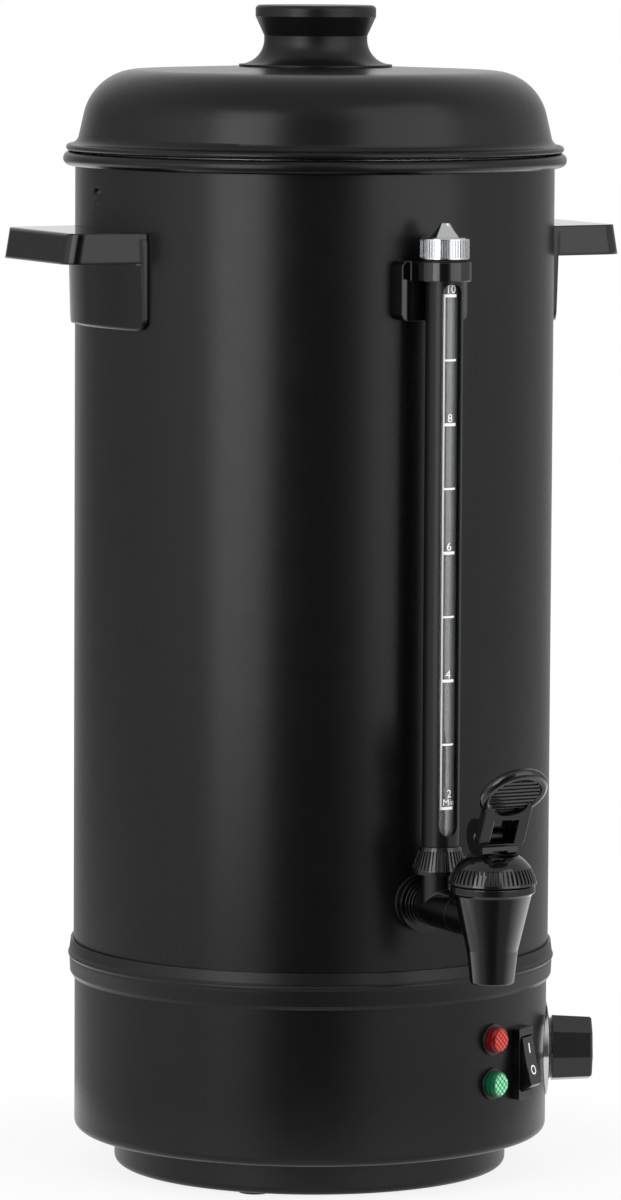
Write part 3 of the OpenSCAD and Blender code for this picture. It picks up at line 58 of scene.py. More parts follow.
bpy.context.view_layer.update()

# %% [markdown]
# ## The camera
# The photograph was taken from far away with a long lens, a little above the middle of the
# urn and to the left of the tap. A camera can be moved by eye until the picture fits. Here its
# place was solved from the ellipses of the lid, the band and the foot, because that settles
# distance and lens together. A bearing is an angle from the tap, turning towards +X.

# %% Camera
CAMERA_BEARING, CAMERA_FAR, CAMERA_Z = -26.5, 3.0164, 0.5655
PITCH, ROLL = 0.1020, 0.0057
FOCAL_PX, LONG_SIDE_PX, SENSOR_MM = 6717.7, 1200, 36
SHIFT_X, SHIFT_Y = -0.0017, 0.0006
UPRIGHT = np.array((0.0, 0.0, 1.0))


def at_bearing(bearing, radius, z):
    """The point at a bearing from the tap, a radius from the axis and a height, in metres."""
    turn = np.radians(bearing)
    return np.array([radius * np.sin(turn), -radius * np.cos(turn), z])


def stand(x_axis, y_axis, z_axis, spot):
    """The matrix whose columns are three axes and a place."""
    columns = np.eye(4)
    columns[:3] = np.stack([x_axis, y_axis, z_axis, spot], axis=1)
    return Matrix(columns.tolist())


ahead = -at_bearing(CAMERA_BEARING, 1, 0)
level_right = np.cross(ahead, UPRIGHT)
look = math.cos(PITCH) * ahead - math.sin(PITCH) * UPRIGHT
level_up = np.cross(level_right, look)
right = math.cos(ROLL) * level_right + math.sin(ROLL) * level_up
up = math.cos(ROLL) * level_up - math.sin(ROLL) * level_right

camera = bpy.data.objects.new("camera", bpy.data.cameras.new("camera"))
camera.matrix_world = stand(right, up, -look, at_bearing(CAMERA_BEARING, CAMERA_FAR, CAMERA_Z))
camera.data.sensor_width = SENSOR_MM
camera.data.lens = FOCAL_PX / LONG_SIDE_PX * SENSOR_MM
camera.data.shift_x, camera.data.shift_y = SHIFT_X, SHIFT_Y
scene.collection.objects.link(camera)
scene.camera = camera
print("lens", round(camera.data.lens, 1), "mm")

# %% [markdown]
# ## Small helpers
# A colour is picked on screen as an sRGB hex value, while Blender's shaders count light, so
# one function undoes the screen's curve. The Standard view puts the same curve back and no
# more, so that a colour comes out as it was picked. Another function adds a shader node, sets
# it and links it. With these two, a finish reads as a short list of what the material does.

# %% Colour and node helpers
scene.view_settings.view_transform = "Standard"


def linear(hex_code):
    """sRGB hex to linear light: c/12.92 below 0.04045, else ((c + 0.055)/1.055) ** 2.4."""
    c = np.array([int(hex_code[i:i + 2], 16) for i in (1, 3, 5)]) / 255
    light = np.where(c <= 0.04045, c / 12.92, ((c + 0.055) / 1.055) ** 2.4)
    return (*light.tolist(), 1.0)


def add(tree, kind, sockets=(), **settings):
    """Adds one shader node, sets its properties, and sets or links its sockets."""
    made = tree.nodes.new("ShaderNode" + kind)
    for name, value in settings.items():
        setattr(made, name, value)
    for name, value in dict(sockets).items():
        if isinstance(value, bpy.types.NodeSocket):
            tree.links.new(value, made.inputs[name])
        else:
            made.inputs[name].default_value = value
    return made


def finish_named(name):
    """A new empty material and its node tree."""
    made = bpy.data.materials.new(name)
    made.use_nodes = True
    made.node_tree.nodes.clear()
    return made, made.node_tree


def wear(material, *names):
    """Puts a finish on CAD nodes."""
    for name in names:
        nodes[name].data.materials.clear()
        nodes[name].data.materials.append(material)
    print(material.name, "on", ", ".join(names))


print("middle grey in linear light:", np.round(linear("#808080"), 3).tolist())


# %% [markdown]
# ## The floor
# The urn stands on a round sheet of white paper. A large lit plane would do, but its far edge
# and its grey would show. This small sheet glows at a strength of 1, which is white, for rays
# from the camera, a mirror or glass, and is plain paper by a small share in the middle, so
# that only the soft shadow round the foot is left of it.

# %% Paper floor
FLOOR_R, FLOOR_STEPS = 0.26, 96
SHADOW_R, FADE_R, SHADOW_SHARE = 0.14, 0.95 * FLOOR_R, 0.14

turn = np.linspace(0, 2 * np.pi, FLOOR_STEPS, endpoint=False)
edge_points = np.stack([FLOOR_R * np.cos(turn), FLOOR_R * np.sin(turn), 0 * turn], axis=-1)
floor_mesh = bpy.data.meshes.new("floor")
floor_mesh.from_pydata(edge_points.tolist(), [], [tuple(range(FLOOR_STEPS))])
floor = bpy.data.objects.new("floor", floor_mesh)
scene.collection.objects.link(floor)

# White paper: matt, and white right up to the shadow
paper, tree = finish_named("white paper")
path = add(tree, "LightPath")
place = add(tree, "TexCoord")
away = add(tree, "VectorMath", {0: place.outputs["Object"]}, operation="LENGTH")
fade = add(tree, "MapRange", {
    "Value": away.outputs["Value"], "From Min": SHADOW_R, "From Max": FADE_R,
    "To Min": 1 - SHADOW_SHARE, "To Max": 1.0}, interpolation_type="SMOOTHSTEP")
mirrored = add(tree, "Math", {
    0: path.outputs["Is Glossy Ray"], 1: path.outputs["Is Transmission Ray"]}, operation="MAXIMUM")
seen = add(tree, "Math", {
    0: path.outputs["Is Camera Ray"], 1: mirrored.outputs[0]}, operation="MAXIMUM")
share = add(tree, "Math", {0: seen.outputs[0], 1: fade.outputs[0]}, operation="MULTIPLY")
sheet = add(tree, "BsdfDiffuse", {"Color": linear("#f2f2f2")})
glow = add(tree, "Emission", {"Color": (1, 1, 1, 1), "Strength": 1.0})
shader = add(tree, "MixShader", {
    0: share.outputs[0], 1: sheet.outputs[0], 2: glow.outputs[0]})
add(tree, "OutputMaterial", {"Surface": shader.outputs[0]})
floor_mesh.materials.append(paper)
print("paper floor, radius", FLOOR_R, "m")

# %% [markdown]
# ## The surround
# A black cylinder shows almost nothing but its surroundings, so these matter more than its
# colour. They could be cards standing round the urn. One world shader does the same with
# nothing in the way of the camera: white paper behind, grey walls at the sides, and a dark
# room behind the camera, which leaves the middle of the tank black. A direction's level is
# read from its azimuth, counted from the camera.

# %% Walls
# Azimuth in degrees, and the level of light from there
WALLS = (
    (-180, 1.0), (-160, 0.6), (-135, 0.26), (-106, 0.62), (-85, 1.2), (-65, 1.9), (-50, 1.7),
    (-30, 0.6), (-14, 0.13), (0, 0.07), (12, 0.13), (28, 1.0), (60, 1.3), (85, 1.35),
    (110, 0.8), (145, 0.54), (165, 0.7), (180, 1.0))


def grey(level):
    """A level of light as a colour."""
    return (level, level, level, 1)


world = bpy.data.worlds.new("studio")
world.use_nodes = True
scene.world = world
tree = world.node_tree
tree.nodes.clear()
way = add(tree, "TexCoord").outputs["Generated"]
sideways = add(tree, "VectorMath", {0: way, 1: tuple(level_right)}, operation="DOT_PRODUCT")
frontways = add(tree, "VectorMath", {0: way, 1: tuple(-ahead)}, operation="DOT_PRODUCT")
azimuth = add(tree, "Math", {
    0: sideways.outputs["Value"], 1: frontways.outputs["Value"]}, operation="ARCTAN2")
along = add(tree, "MapRange", {
    "Value": azimuth.outputs[0], "From Min": -math.pi, "From Max": math.pi})
walls = add(tree, "ValToRGB", {"Fac": along.outputs[0]})
stops = walls.color_ramp.elements
while len(stops) < len(WALLS):
    stops.new(0.5)
for stop, (degrees, level) in zip(stops, WALLS):
    stop.position = (degrees + 180) / 360
    stop.color = grey(level)
print("surround levels by azimuth:", WALLS)

# %% [markdown]
# ## Above, below and the floor
# Straight up or down an azimuth means nothing, so the walls fade to one even level overhead
# and below. The paper floor at the sides and behind is lit, and shows in the tank from there.
# The camera, and what is seen through the clear tube, get plain white: a backdrop could be
# lit until it is white, but that light would fall on the urn too.

# %% Overhead, below and lit floor
OVERHEAD, BELOW, FLOOR_AROUND = 0.75, 0.12, 2.2
# Heights of a direction, as the sine of its elevation, between which a level fades in
OVERHEAD_FADE, BELOW_FADE, FLOOR_FADE = (0.2, 0.75), (0.0, -0.2), (-0.14, -0.34)
BELOW_SHARE = 0.7
FLOOR_AZIMUTHS = math.radians(60), math.radians(105)

path = add(tree, "LightPath")
height = add(tree, "SeparateXYZ", {0: way}).outputs["Z"]
overhead = add(tree, "MapRange", {
    "Value": height, "From Min": OVERHEAD_FADE[0], "From Max": OVERHEAD_FADE[1]})
below = add(tree, "MapRange", {
    "Value": height, "From Min": BELOW_FADE[0], "From Max": BELOW_FADE[1], "To Max": BELOW_SHARE})
capped = add(tree, "Mix", {
    "Factor": overhead.outputs[0], "A": walls.outputs["Color"], "B": grey(OVERHEAD)},
    data_type="RGBA")
tent = add(tree, "Mix", {
    "Factor": below.outputs[0], "A": capped.outputs["Result"], "B": grey(BELOW)},
    data_type="RGBA")
off_front = add(tree, "Math", {0: azimuth.outputs[0]}, operation="ABSOLUTE")
around = add(tree, "MapRange", {
    "Value": off_front.outputs[0], "From Min": FLOOR_AZIMUTHS[0], "From Max": FLOOR_AZIMUTHS[1]})
downwards = add(tree, "MapRange", {
    "Value": height, "From Min": FLOOR_FADE[0], "From Max": FLOOR_FADE[1]})
lit_floor = add(tree, "Math", {
    0: around.outputs[0], 1: downwards.outputs[0]}, operation="MULTIPLY")
room = add(tree, "Mix", {
    "Factor": lit_floor.outputs[0], "A": tent.outputs["Result"], "B": grey(FLOOR_AROUND)},
    data_type="RGBA")
clear_view = add(tree, "Math", {
    0: path.outputs["Is Camera Ray"], 1: path.outputs["Is Transmission Ray"]},
    operation="MAXIMUM")
white = add(tree, "Math", {
    0: room.outputs["Result"], 1: clear_view.outputs[0]}, operation="MAXIMUM")
air = add(tree, "Background", {"Color": (1, 1, 1, 1), "Strength": white.outputs[0]})
add(tree, "OutputWorld", {"Surface": air.outputs[0]})
print("levels overhead, below and on the floor around:", OVERHEAD, BELOW, FLOOR_AROUND)

# %% [markdown]
# ## The lamps
# A softbox on the left lays the bright streak on the tank and crisp bands on the glossy
# pieces, and a wide weaker one lifts the right side. Small lamps would make hard dots on the
# gloss. The key light in front is cross-polarised, as studios do it for black objects: it
# lights colours and white print, but no surface mirrors it.

# %% Softboxes
def softbox(name, bearing, distance, z, width, height, radiance, aim_z, mirrored=True):
    """A rectangular lamp at a bearing from the camera that faces the urn's axis. A lamp of area
    A and radiance L gives off pi A L watts."""
    lamp = bpy.data.lights.new(name, "AREA")
    lamp.shape, lamp.size, lamp.size_y = "RECTANGLE", width, height
    lamp.energy = math.pi * width * height * radiance
    spot = at_bearing(CAMERA_BEARING + bearing, distance, z)
    back = spot - aim_z * UPRIGHT
    back /= np.linalg.norm(back)
    side = np.cross(UPRIGHT, back)
    side /= np.linalg.norm(side)
    holder = bpy.data.objects.new(name, lamp)
    holder.matrix_world = stand(side, np.cross(back, side), back, spot)
    holder.visible_glossy = mirrored
    scene.collection.objects.link(holder)
    print(name, round(lamp.energy, 1), "W")


softbox("softbox_left", bearing=-34, distance=1.5, z=0.69, width=0.76, height=1.5, radiance=3.4,
        aim_z=0.35)
softbox("softbox_right", bearing=47, distance=1.5, z=0.87, width=1.4, height=2.0, radiance=1.4,
        aim_z=0.35)
softbox("key_light", bearing=-10, distance=1.3, z=1.3, width=1.0, height=1.0, radiance=0.8,
        aim_z=0.2, mirrored=False)

# %% [markdown]
# ## Powder-coated steel
# The tank, lid and base are pressed steel sheets, sprayed with black polyester powder and
# baked. The powder flows into a satin skin with a very fine orange peel, which breaks up
# reflections more than any colour would. The tank is sprayed on its outside only: where the
# water stands it is bare stainless steel. Two materials on one sheet need no second mesh here,
# because a face's direction tells inside from outside.

# %% Powder coat
CLOUD_M, PEEL_M, PEEL_DEPTH_M, SHEET_EDGE_M = 0.012, 0.0014, 0.0002, 0.0004
PEEL_STRENGTH, CLOUD_SPREAD, COAT_GLOSS = 0.06, 0.03, 0.25
BARE_STEEL, BARE_ROUGHNESS = "#c8cacc", 0.5
# Metres by which a face looks at the axis where the coat ends, and where the steel is bare
COAT_END, STEEL_START = -0.02, -0.04


def powder_coat(name, hex_code, roughness, bare_inside=False):
    """Satin coat: roughness varies in 12 mm clouds, and 1.4 mm cells of orange peel bend the
    light. Real peel is finer, and is drawn at this size so that it shows. With bare_inside, a
    face whose normal n has n . (x, y, 0) below zero looks at the axis and stays bare steel."""
    coat, tree = finish_named(name)
    place = add(tree, "TexCoord")
    clouds = add(tree, "TexNoise", {
        "Vector": place.outputs["Object"], "Scale": 1 / CLOUD_M, "Detail": 3})
    rough = add(tree, "MapRange", {
        "Value": clouds.outputs[0], "To Min": roughness - CLOUD_SPREAD,
        "To Max": roughness + CLOUD_SPREAD})
    peel = add(tree, "TexNoise", {
        "Vector": place.outputs["Object"], "Scale": 1 / PEEL_M, "Detail": 1})
    edge = add(tree, "Bevel", {"Radius": SHEET_EDGE_M}, samples=4)
    bump = add(tree, "Bump", {
        "Strength": PEEL_STRENGTH, "Distance": PEEL_DEPTH_M, "Height": peel.outputs[0],
        "Normal": edge.outputs[0]})
    surface = {"Base Color": linear(hex_code), "Roughness": rough.outputs[0]}
    if bare_inside:
        level = add(tree, "VectorMath", {
            0: place.outputs["Object"], 1: (1, 1, 0)}, operation="MULTIPLY")
        outward = add(tree, "VectorMath", {
            0: place.outputs["Normal"], 1: level.outputs[0]}, operation="DOT_PRODUCT")
        bare = add(tree, "MapRange", {
            "Value": outward.outputs["Value"], "From Min": COAT_END, "From Max": STEEL_START})
        colour = add(tree, "Mix", {
            "Factor": bare.outputs[0], "A": linear(hex_code), "B": linear(BARE_STEEL)},
            data_type="RGBA")
        brushed = add(tree, "Mix", {
            "Factor": bare.outputs[0], "A": rough.outputs[0], "B": BARE_ROUGHNESS},
            data_type="FLOAT")
        surface = {"Base Color": colour.outputs["Result"], "Metallic": bare.outputs[0],
                   "Roughness": brushed.outputs["Result"]}
    shader = add(tree, "BsdfPrincipled", {
        **surface, "Specular IOR Level": COAT_GLOSS, "Normal": bump.outputs[0]})
    add(tree, "OutputMaterial", {"Surface": shader.outputs[0]})
    return coat


# A deep satin black whose reflections have soft edges
wear(powder_coat("black powder coat", "#070708", roughness=0.27), "lid_dome", "base_shell")
wear(powder_coat("black powder coat on stainless steel", "#070708", roughness=0.27,
                 bare_inside=True), "tank")
# A thinner coat on drawn tube, a little greyer and duller
wear(powder_coat("black powder coat on tube", "#0b0b0c", roughness=0.3), "gauge_shield")

# %% [markdown]
# ## Moulded plastics
# The grips, bracket and tap are ABS from polished moulds: a deep black with crisp reflections
# and faint flow marks. The switch and the dial are nylon, a little duller. The lid knob, band
# and foot come from eroded moulds with a dull fine grain. No moulded edge is sharp. A bevel in
# the mesh would have to follow every rib and hole, so the Bevel node rounds each edge for the
# light: wide on the grips, narrow on the fine ribs of the nuts.

# %% Moulded plastic
GRAIN_DEPTH_M = 0.0003
SMOOTHEST, ROUGHEST = 0.85, 1.2


def moulded(name, hex_code, roughness, grain_mm, depth, edge_mm=0.4, gloss=0.5):
    """Moulded plastic: a noise of grain_mm cells stands for flow marks or eroded grain. Real
    eroded grain is finer, and is drawn at this size so that it shows."""
    plastic, tree = finish_named(name)
    place = add(tree, "TexCoord")
    grain = add(tree, "TexNoise", {
        "Vector": place.outputs["Object"], "Scale": 1000 / grain_mm, "Detail": 2})
    rough = add(tree, "MapRange", {
        "Value": grain.outputs[0], "To Min": roughness * SMOOTHEST,
        "To Max": roughness * ROUGHEST})
    edge = add(tree, "Bevel", {"Radius": edge_mm / 1000}, samples=6)
    bump = add(tree, "Bump", {
        "Strength": depth, "Distance": GRAIN_DEPTH_M, "Height": grain.outputs[0],
        "Normal": edge.outputs[0]})
    shader = add(tree, "BsdfPrincipled", {
        "Base Color": linear(hex_code), "Roughness": rough.outputs[0],
        "Specular IOR Level": gloss, "Normal": bump.outputs[0]})
    add(tree, "OutputMaterial", {"Surface": shader.outputs[0]})
    return plastic


# Polished black with broad soft highlights on its rounded edges
wear(moulded("gloss black ABS grip", "#050506", roughness=0.08, grain_mm=9, depth=0.03,
             edge_mm=1.8, gloss=0.32), "handle_left", "handle_right")
# The same plastic, with tighter edges and a brighter mirror
wear(moulded("gloss black ABS bracket", "#050506", roughness=0.08, grain_mm=9, depth=0.03,
             edge_mm=1.0), "gauge_bracket")
wear(moulded("gloss black ABS tap", "#050506", roughness=0.08, grain_mm=9, depth=0.03,
             edge_mm=0.5), "tap_shank", "tap_body", "tap_lever")
wear(moulded("gloss black ABS ribs", "#060607", roughness=0.1, grain_mm=9, depth=0.03,
             edge_mm=0.2), "gauge_nut", "tap_bonnet")
# Nylon: black with a slightly milky gloss
wear(moulded("gloss black nylon", "#08080a", roughness=0.18, grain_mm=6, depth=0.03,
             edge_mm=0.35), "switch_frame", "switch_rocker", "thermostat_knob")
# Eroded mould: a dull, even black that hides finger marks
wear(moulded("eroded black ABS", "#09090a", roughness=0.34, grain_mm=0.9, depth=0.08, gloss=0.25),
     "lid_knob", "joint_band", "foot_pan", "power_inlet")
wear(moulded("black nylon lamp holder", "#050505", roughness=0.4, grain_mm=0.9, depth=0.08),
     "lamp_holders")
# Rubber: matt black without a mirror
wear(moulded("black rubber", "#0a0a0a", roughness=0.6, grain_mm=1.2, depth=0.1),
     "foot_pads", "gauge_cap_seal", "shank_washers", "bonnet_seal")
# Silicone and uncoloured nylon: creamy and waxy
wear(moulded("cream silicone rubber", "#d6d0c2", roughness=0.5, grain_mm=2, depth=0.05),
     "gauge_seal", "tap_seat_cup")
wear(moulded("natural nylon", "#d9d3c4", roughness=0.4, grain_mm=3, depth=0.04), "shank_nut")
# Phenolic: the dry, chalky look of electrical mouldings
wear(moulded("cream phenolic", "#cfc8b6", roughness=0.45, grain_mm=0.8, depth=0.08),
     "thermostat_body", "terminal_block", "thermal_cutout")
# Glass-fibre sleeve: rust red and soft
wear(moulded("red-brown glass-fibre sleeve", "#8a3c28", roughness=0.4, grain_mm=4, depth=0.04),
     "wiring")

# %% [markdown]
# ## Metals
# The gauge cap and the dial's rosette are chromed. Chrome has hardly any colour of its own.
# Screws, studs and springs are plain stainless steel, turned and drawn, so their gloss runs in
# fine lines. Lines could be a bump, but they are so fine that only the roughness shows them.

# %% Metals
POLISHED, SCRATCHED = 0.7, 1.4


def metal(name, hex_code, roughness, line_mm, stretch, edge_mm=0.3):
    """Metal with fine lines: a noise squeezed along Z by stretch varies the roughness."""
    plate, tree = finish_named(name)
    place = add(tree, "TexCoord")
    squeeze = add(tree, "Mapping", {
        "Vector": place.outputs["Object"], "Scale": (1, 1, stretch)})
    lines = add(tree, "TexNoise", {
        "Vector": squeeze.outputs[0], "Scale": 1000 / line_mm, "Detail": 2})
    rough = add(tree, "MapRange", {
        "Value": lines.outputs[0], "To Min": roughness * POLISHED,
        "To Max": roughness * SCRATCHED})
    edge = add(tree, "Bevel", {"Radius": edge_mm / 1000}, samples=4)
    shader = add(tree, "BsdfPrincipled", {
        "Base Color": linear(hex_code), "Metallic": 1.0, "Roughness": rough.outputs[0],
        "Normal": edge.outputs[0]})
    add(tree, "OutputMaterial", {"Surface": shader.outputs[0]})
    return plate


# Chrome: a clear mirror, black and white at once
wear(metal("bright chrome", "#c6c8ca", roughness=0.1, line_mm=3, stretch=1, edge_mm=0.2),
     "gauge_cap", "thermostat_rosette")
# Drawn steel: a grey gloss that runs in lines
steel = metal("drawn stainless steel", "#b9bbbd", roughness=0.28, line_mm=0.8, stretch=12)
wear(steel, "lid_lock_ring", "lid_knob_washer", "lid_knob_screw", "weld_studs", "tie_nuts",
     "handle_screws", "bracket_screws", "lever_pin", "thermostat_shaft", "thermostat_nut",
     "heater_clamp", "clamp_nut", "inlet_pins")
# Black oxide: steel that hardly shows beside black plastic
wear(metal("black oxide stainless steel", "#262628", roughness=0.3, line_mm=0.8, stretch=12),
     "tap_stem", "switch_pin")
# Pressed sheet: a soft, even sheen
wear(metal("pressed stainless steel", "#b3b5b7", roughness=0.34, line_mm=1.5, stretch=1),
     "tank_floor")
# Cast aluminium: pale and dull
wear(metal("cast aluminium", "#a5a7a9", roughness=0.45, line_mm=1.2, stretch=1), "heating_plate")
# Drawn copper: warm, with a soft shine
wear(metal("drawn copper", "#b8734a", roughness=0.25, line_mm=0.8, stretch=12),
     "thermostat_bulb")

# %% [markdown]
# ## New pieces
# A piece that Blender adds is worked out as arrays of points and faces. One function makes it a
# closed mesh with its faces turned outwards, and lets it ride on a body, so that it moves with
# what carries it.

# %% Piece helper
def new_piece(name, points, faces, material, body):
    """A closed mesh of these points and faces in a material, which rides on a body."""
    mesh = bpy.data.meshes.new(name)
    mesh.from_pydata(points.tolist(), [], faces)
    grid = bmesh.new()
    grid.from_mesh(mesh)
    bmesh.ops.recalc_face_normals(grid, faces=grid.faces)
    grid.to_mesh(mesh)
    grid.free()
    mesh.materials.append(material)
    piece = bpy.data.objects.new(name, mesh)
    scene.collection.objects.link(piece)
    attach(piece, body)
    print(name, "of", len(mesh.polygons), "faces, on", body)
    return piece


# %% [markdown]
# ## The tap's return spring
# Under the bonnet a coil of steel wire pushes the stem onto its seat. A spring is wound with
# its end turns touching, so that it stands level. A Screw modifier could wind it, but only
# evenly, so here a circle is carried along a helix. The CAD spring is one rigid solid, so this
# one stands for it, and the CAD spring is hidden.

# %% Return spring
SPRING_TURNS, TURN_STEPS, WIRE_SIDES = 6, 24, 10
WIRE_R, END_TURN = 0.0005, 0.9

spring_low, spring_high = (np.array(corner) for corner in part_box("tap_spring"))
spring_axis = (spring_low + spring_high)[:2] / 2
spring_r = (spring_high - spring_low)[0] / 2 - WIRE_R
spring_h = (spring_high - spring_low)[2]


def coil():
    """A wire of radius w along a helix: ((r + w cos a) cos t, (r + w cos a) sin t,
    z(t) + w sin a), where z rises by one wire in each end turn and evenly between them."""
    turns = np.linspace(0, SPRING_TURNS, SPRING_TURNS * TURN_STEPS + 1)
    free = spring_h - 2 * WIRE_R
    rise = np.interp(turns, [0, END_TURN, SPRING_TURNS - END_TURN, SPRING_TURNS],
                     [0, 2 * WIRE_R, free - 2 * WIRE_R, free])
    round_wire = np.linspace(0, 2 * np.pi, WIRE_SIDES, endpoint=False)
    t, a = np.meshgrid(2 * np.pi * turns, round_wire, indexing="ij")
    r = spring_r + WIRE_R * np.cos(a)
    z = spring_low[2] + WIRE_R + rise[:, None] + WIRE_R * np.sin(a)
    points = np.stack([spring_axis[0] + r * np.cos(t), spring_axis[1] + r * np.sin(t), z], axis=-1)
    i, k = np.meshgrid(np.arange(len(turns) - 1), np.arange(WIRE_SIDES), indexing="ij")
    here, after = WIRE_SIDES * i + k, WIRE_SIDES * i + (k + 1) % WIRE_SIDES
    sides = np.stack([here, here + WIRE_SIDES, after + WIRE_SIDES, after], axis=-1)
    first = np.arange(WIRE_SIDES)
    last = first[::-1] + points[..., 0].size - WIRE_SIDES
    return points.reshape(-1, 3), [*sides.reshape(-1, 4).tolist(), first.tolist(), last.tolist()]


spring = new_piece("return_spring", *coil(), steel, "urn")
spring.data.shade_smooth()
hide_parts("tap_spring")
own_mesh(spring)
print("return spring", round(1000 * spring_h, 1), "mm high")

# %% [markdown]
# ## Clear sight tube
# The gauge is a tube of clear polycarbonate: it bends light at its walls and mirrors the
# softboxes as narrow streaks. Steam and wiping leave a faint white haze on it. A rougher glass
# would blur all that shows through it, so the haze is a small share of white paint instead.

# %% Polycarbonate
POLYCARBONATE_IOR, HAZE_SHARE = 1.58, 0.07

# Clear, with a touch of milk
clear, tree = finish_named("clear polycarbonate")
glass = add(tree, "BsdfPrincipled", {
    "Base Color": linear("#f3f6f6"), "Roughness": 0.03, "IOR": POLYCARBONATE_IOR,
    "Transmission Weight": 1.0})
haze = add(tree, "BsdfDiffuse", {"Color": linear("#d9dede")})
shader = add(tree, "MixShader", {0: HAZE_SHARE, 1: glass.outputs[0], 2: haze.outputs[0]})
add(tree, "OutputMaterial", {"Surface": shader.outputs[0]})
wear(clear, "sight_tube")

# %% [markdown]
# ## Lamp lenses
# Each lamp has a cap of tinted acrylic. Its front is moulded with a lattice of small facets
# that spread the light of the bulb behind it. Its rim and plain side wall are darkened with
# painted shade, which deepens towards the rim and down the wall. The facets are too small for a
# mesh of their own, so two crossed waves in the material draw them: as a bump, and as painted
# light, with bright cells of painted glints and painted shade between them. A faint emission of
# the same colours is a painted glow.

# %% Acrylic lenses
LAMP_BEARING, LATTICE_TURN = 22.6, 45
# Fades of the painted glints in the facets, of the painted shade down the side wall and to the
# rim, and the strength of a painted glow
FACET_FADE, WALL_SHADE_FADE_M, RIM_SHADE_FADE = (0.1, 0.5), (0.0005, -0.0025), (0.95, 0.75)
FACET_STRENGTH, FACET_DEPTH_M, PAINTED_GLOW = 0.4, 0.0003, 0.15


def lens_cap(name, node, shade_hex, facet_shade_hex, facet_glint_hex, pitch_mm):
    """Tinted acrylic: |sin(kx) sin(kz)|, turned by 45 degrees about the lens's own axis, makes
    facets of pitch_mm on the front, painted as glints with painted shade between them, and
    painted shade deepens the colour to the rim and down the side wall."""
    cap, tree = finish_named(name)
    low, high = (np.array(corner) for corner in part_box(node))
    lens_r = (high - low)[2] / 2
    place = add(tree, "TexCoord")
    own = add(tree, "Mapping", {
        "Vector": place.outputs["Object"], "Location": tuple((low + high) / 2),
        "Rotation": (0, 0, math.radians(LAMP_BEARING))}, vector_type="TEXTURE")
    flat = add(tree, "VectorMath", {0: own.outputs[0], 1: (1, 0, 1)}, operation="MULTIPLY")
    tilt = add(tree, "Mapping", {
        "Vector": flat.outputs[0], "Rotation": (0, math.radians(LATTICE_TURN), 0),
        "Scale": (math.pi * 1000 / pitch_mm,) * 3})
    axes = add(tree, "SeparateXYZ", {0: tilt.outputs[0]})
    wave_x = add(tree, "Math", {0: axes.outputs["X"]}, operation="SINE")
    wave_z = add(tree, "Math", {0: axes.outputs["Z"]}, operation="SINE")
    facets = add(tree, "Math", {0: wave_x.outputs[0], 1: wave_z.outputs[0]}, operation="MULTIPLY")
    steep = add(tree, "Math", {0: facets.outputs[0]}, operation="ABSOLUTE")
    shade = add(tree, "MapRange", {
        "Value": steep.outputs[0], "From Min": FACET_FADE[0], "From Max": FACET_FADE[1]})
    # Painted light in the facets: bright painted glints, with painted shade along the lines
    # between them
    facet_light = add(tree, "Mix", {
        "Factor": shade.outputs[0], "A": linear(facet_shade_hex), "B": linear(facet_glint_hex)},
        data_type="RGBA")
    depth = add(tree, "SeparateXYZ", {0: own.outputs[0]})
    near = add(tree, "MapRange", {
        "Value": depth.outputs["Y"], "From Min": WALL_SHADE_FADE_M[0], "From Max": WALL_SHADE_FADE_M[1]})
    off_axis = add(tree, "VectorMath", {0: flat.outputs[0]}, operation="LENGTH")
    inside = add(tree, "MapRange", {
        "Value": off_axis.outputs["Value"], "From Min": RIM_SHADE_FADE[0] * lens_r,
        "From Max": RIM_SHADE_FADE[1] * lens_r})
    front = add(tree, "Math", {0: near.outputs[0], 1: inside.outputs[0]}, operation="MULTIPLY")
    # Painted shade: the deep colour on the rim and side wall, round the painted facets of the
    # front
    tint_and_light = add(tree, "Mix", {
        "Factor": front.outputs[0], "A": linear(shade_hex), "B": facet_light.outputs["Result"]},
        data_type="RGBA")
    bump = add(tree, "Bump", {
        "Strength": FACET_STRENGTH, "Distance": FACET_DEPTH_M, "Height": steep.outputs[0]})
    # The emission repeats the painted colours as a faint painted glow
    shader = add(tree, "BsdfPrincipled", {
        "Base Color": tint_and_light.outputs["Result"], "Roughness": 0.12, "Specular IOR Level": 0.25,
        "Emission Color": tint_and_light.outputs["Result"], "Emission Strength": PAINTED_GLOW,
        "Normal": bump.outputs[0]})
    add(tree, "OutputMaterial", {"Surface": shader.outputs[0]})
    wear(cap, node)


# Painted glints in the facets, inside a ring of painted shade
lens_cap("red acrylic", "red_lens", "#56080b", "#5e0b0d", "#d0402e", pitch_mm=1.8)
lens_cap("green acrylic", "green_lens", "#07442a", "#256b45", "#86d8a9", pitch_mm=2.0)

# %% [markdown]
# ## White ink
# The litre scale is screen-printed on the sight tube in white enamel ink, and the switch has
# its two marks printed on the rocker. A print could be a picture on the surface, but a picture
# blurs up close. Here it is a layer of ink with a thickness of its own, a hair above its
# carrier, so that it stays on it from every side.

# %% White ink
INK, LIFT = 0.00005, 0.00002
INK_MESH_M = 0.0006

# Enamel ink: white, half matt, with the faint marks of the screen, drawn coarser than they are
# so that they show
ink, tree = finish_named("white enamel ink")
place = add(tree, "TexCoord")
mesh_marks = add(tree, "TexNoise", {
    "Vector": place.outputs["Object"], "Scale": 1 / INK_MESH_M, "Detail": 1})
rough = add(tree, "MapRange", {"Value": mesh_marks.outputs[0], "To Min": 0.4, "To Max": 0.6})
shader = add(tree, "BsdfPrincipled", {
    "Base Color": linear("#f4f4f2"), "Roughness": rough.outputs[0]})
add(tree, "OutputMaterial", {"Surface": shader.outputs[0]})
print("ink", round(1000 * INK, 3), "mm thick")

# %% [markdown]
# ## Bars and rings
# The scale is made of bars, and the switch's marks are a bar and a ring. Curves with a bevel
# could draw them, with more faces than they need. Here a thin flat rectangle is carried along
# a line or round a circle, which gives a closed solid.

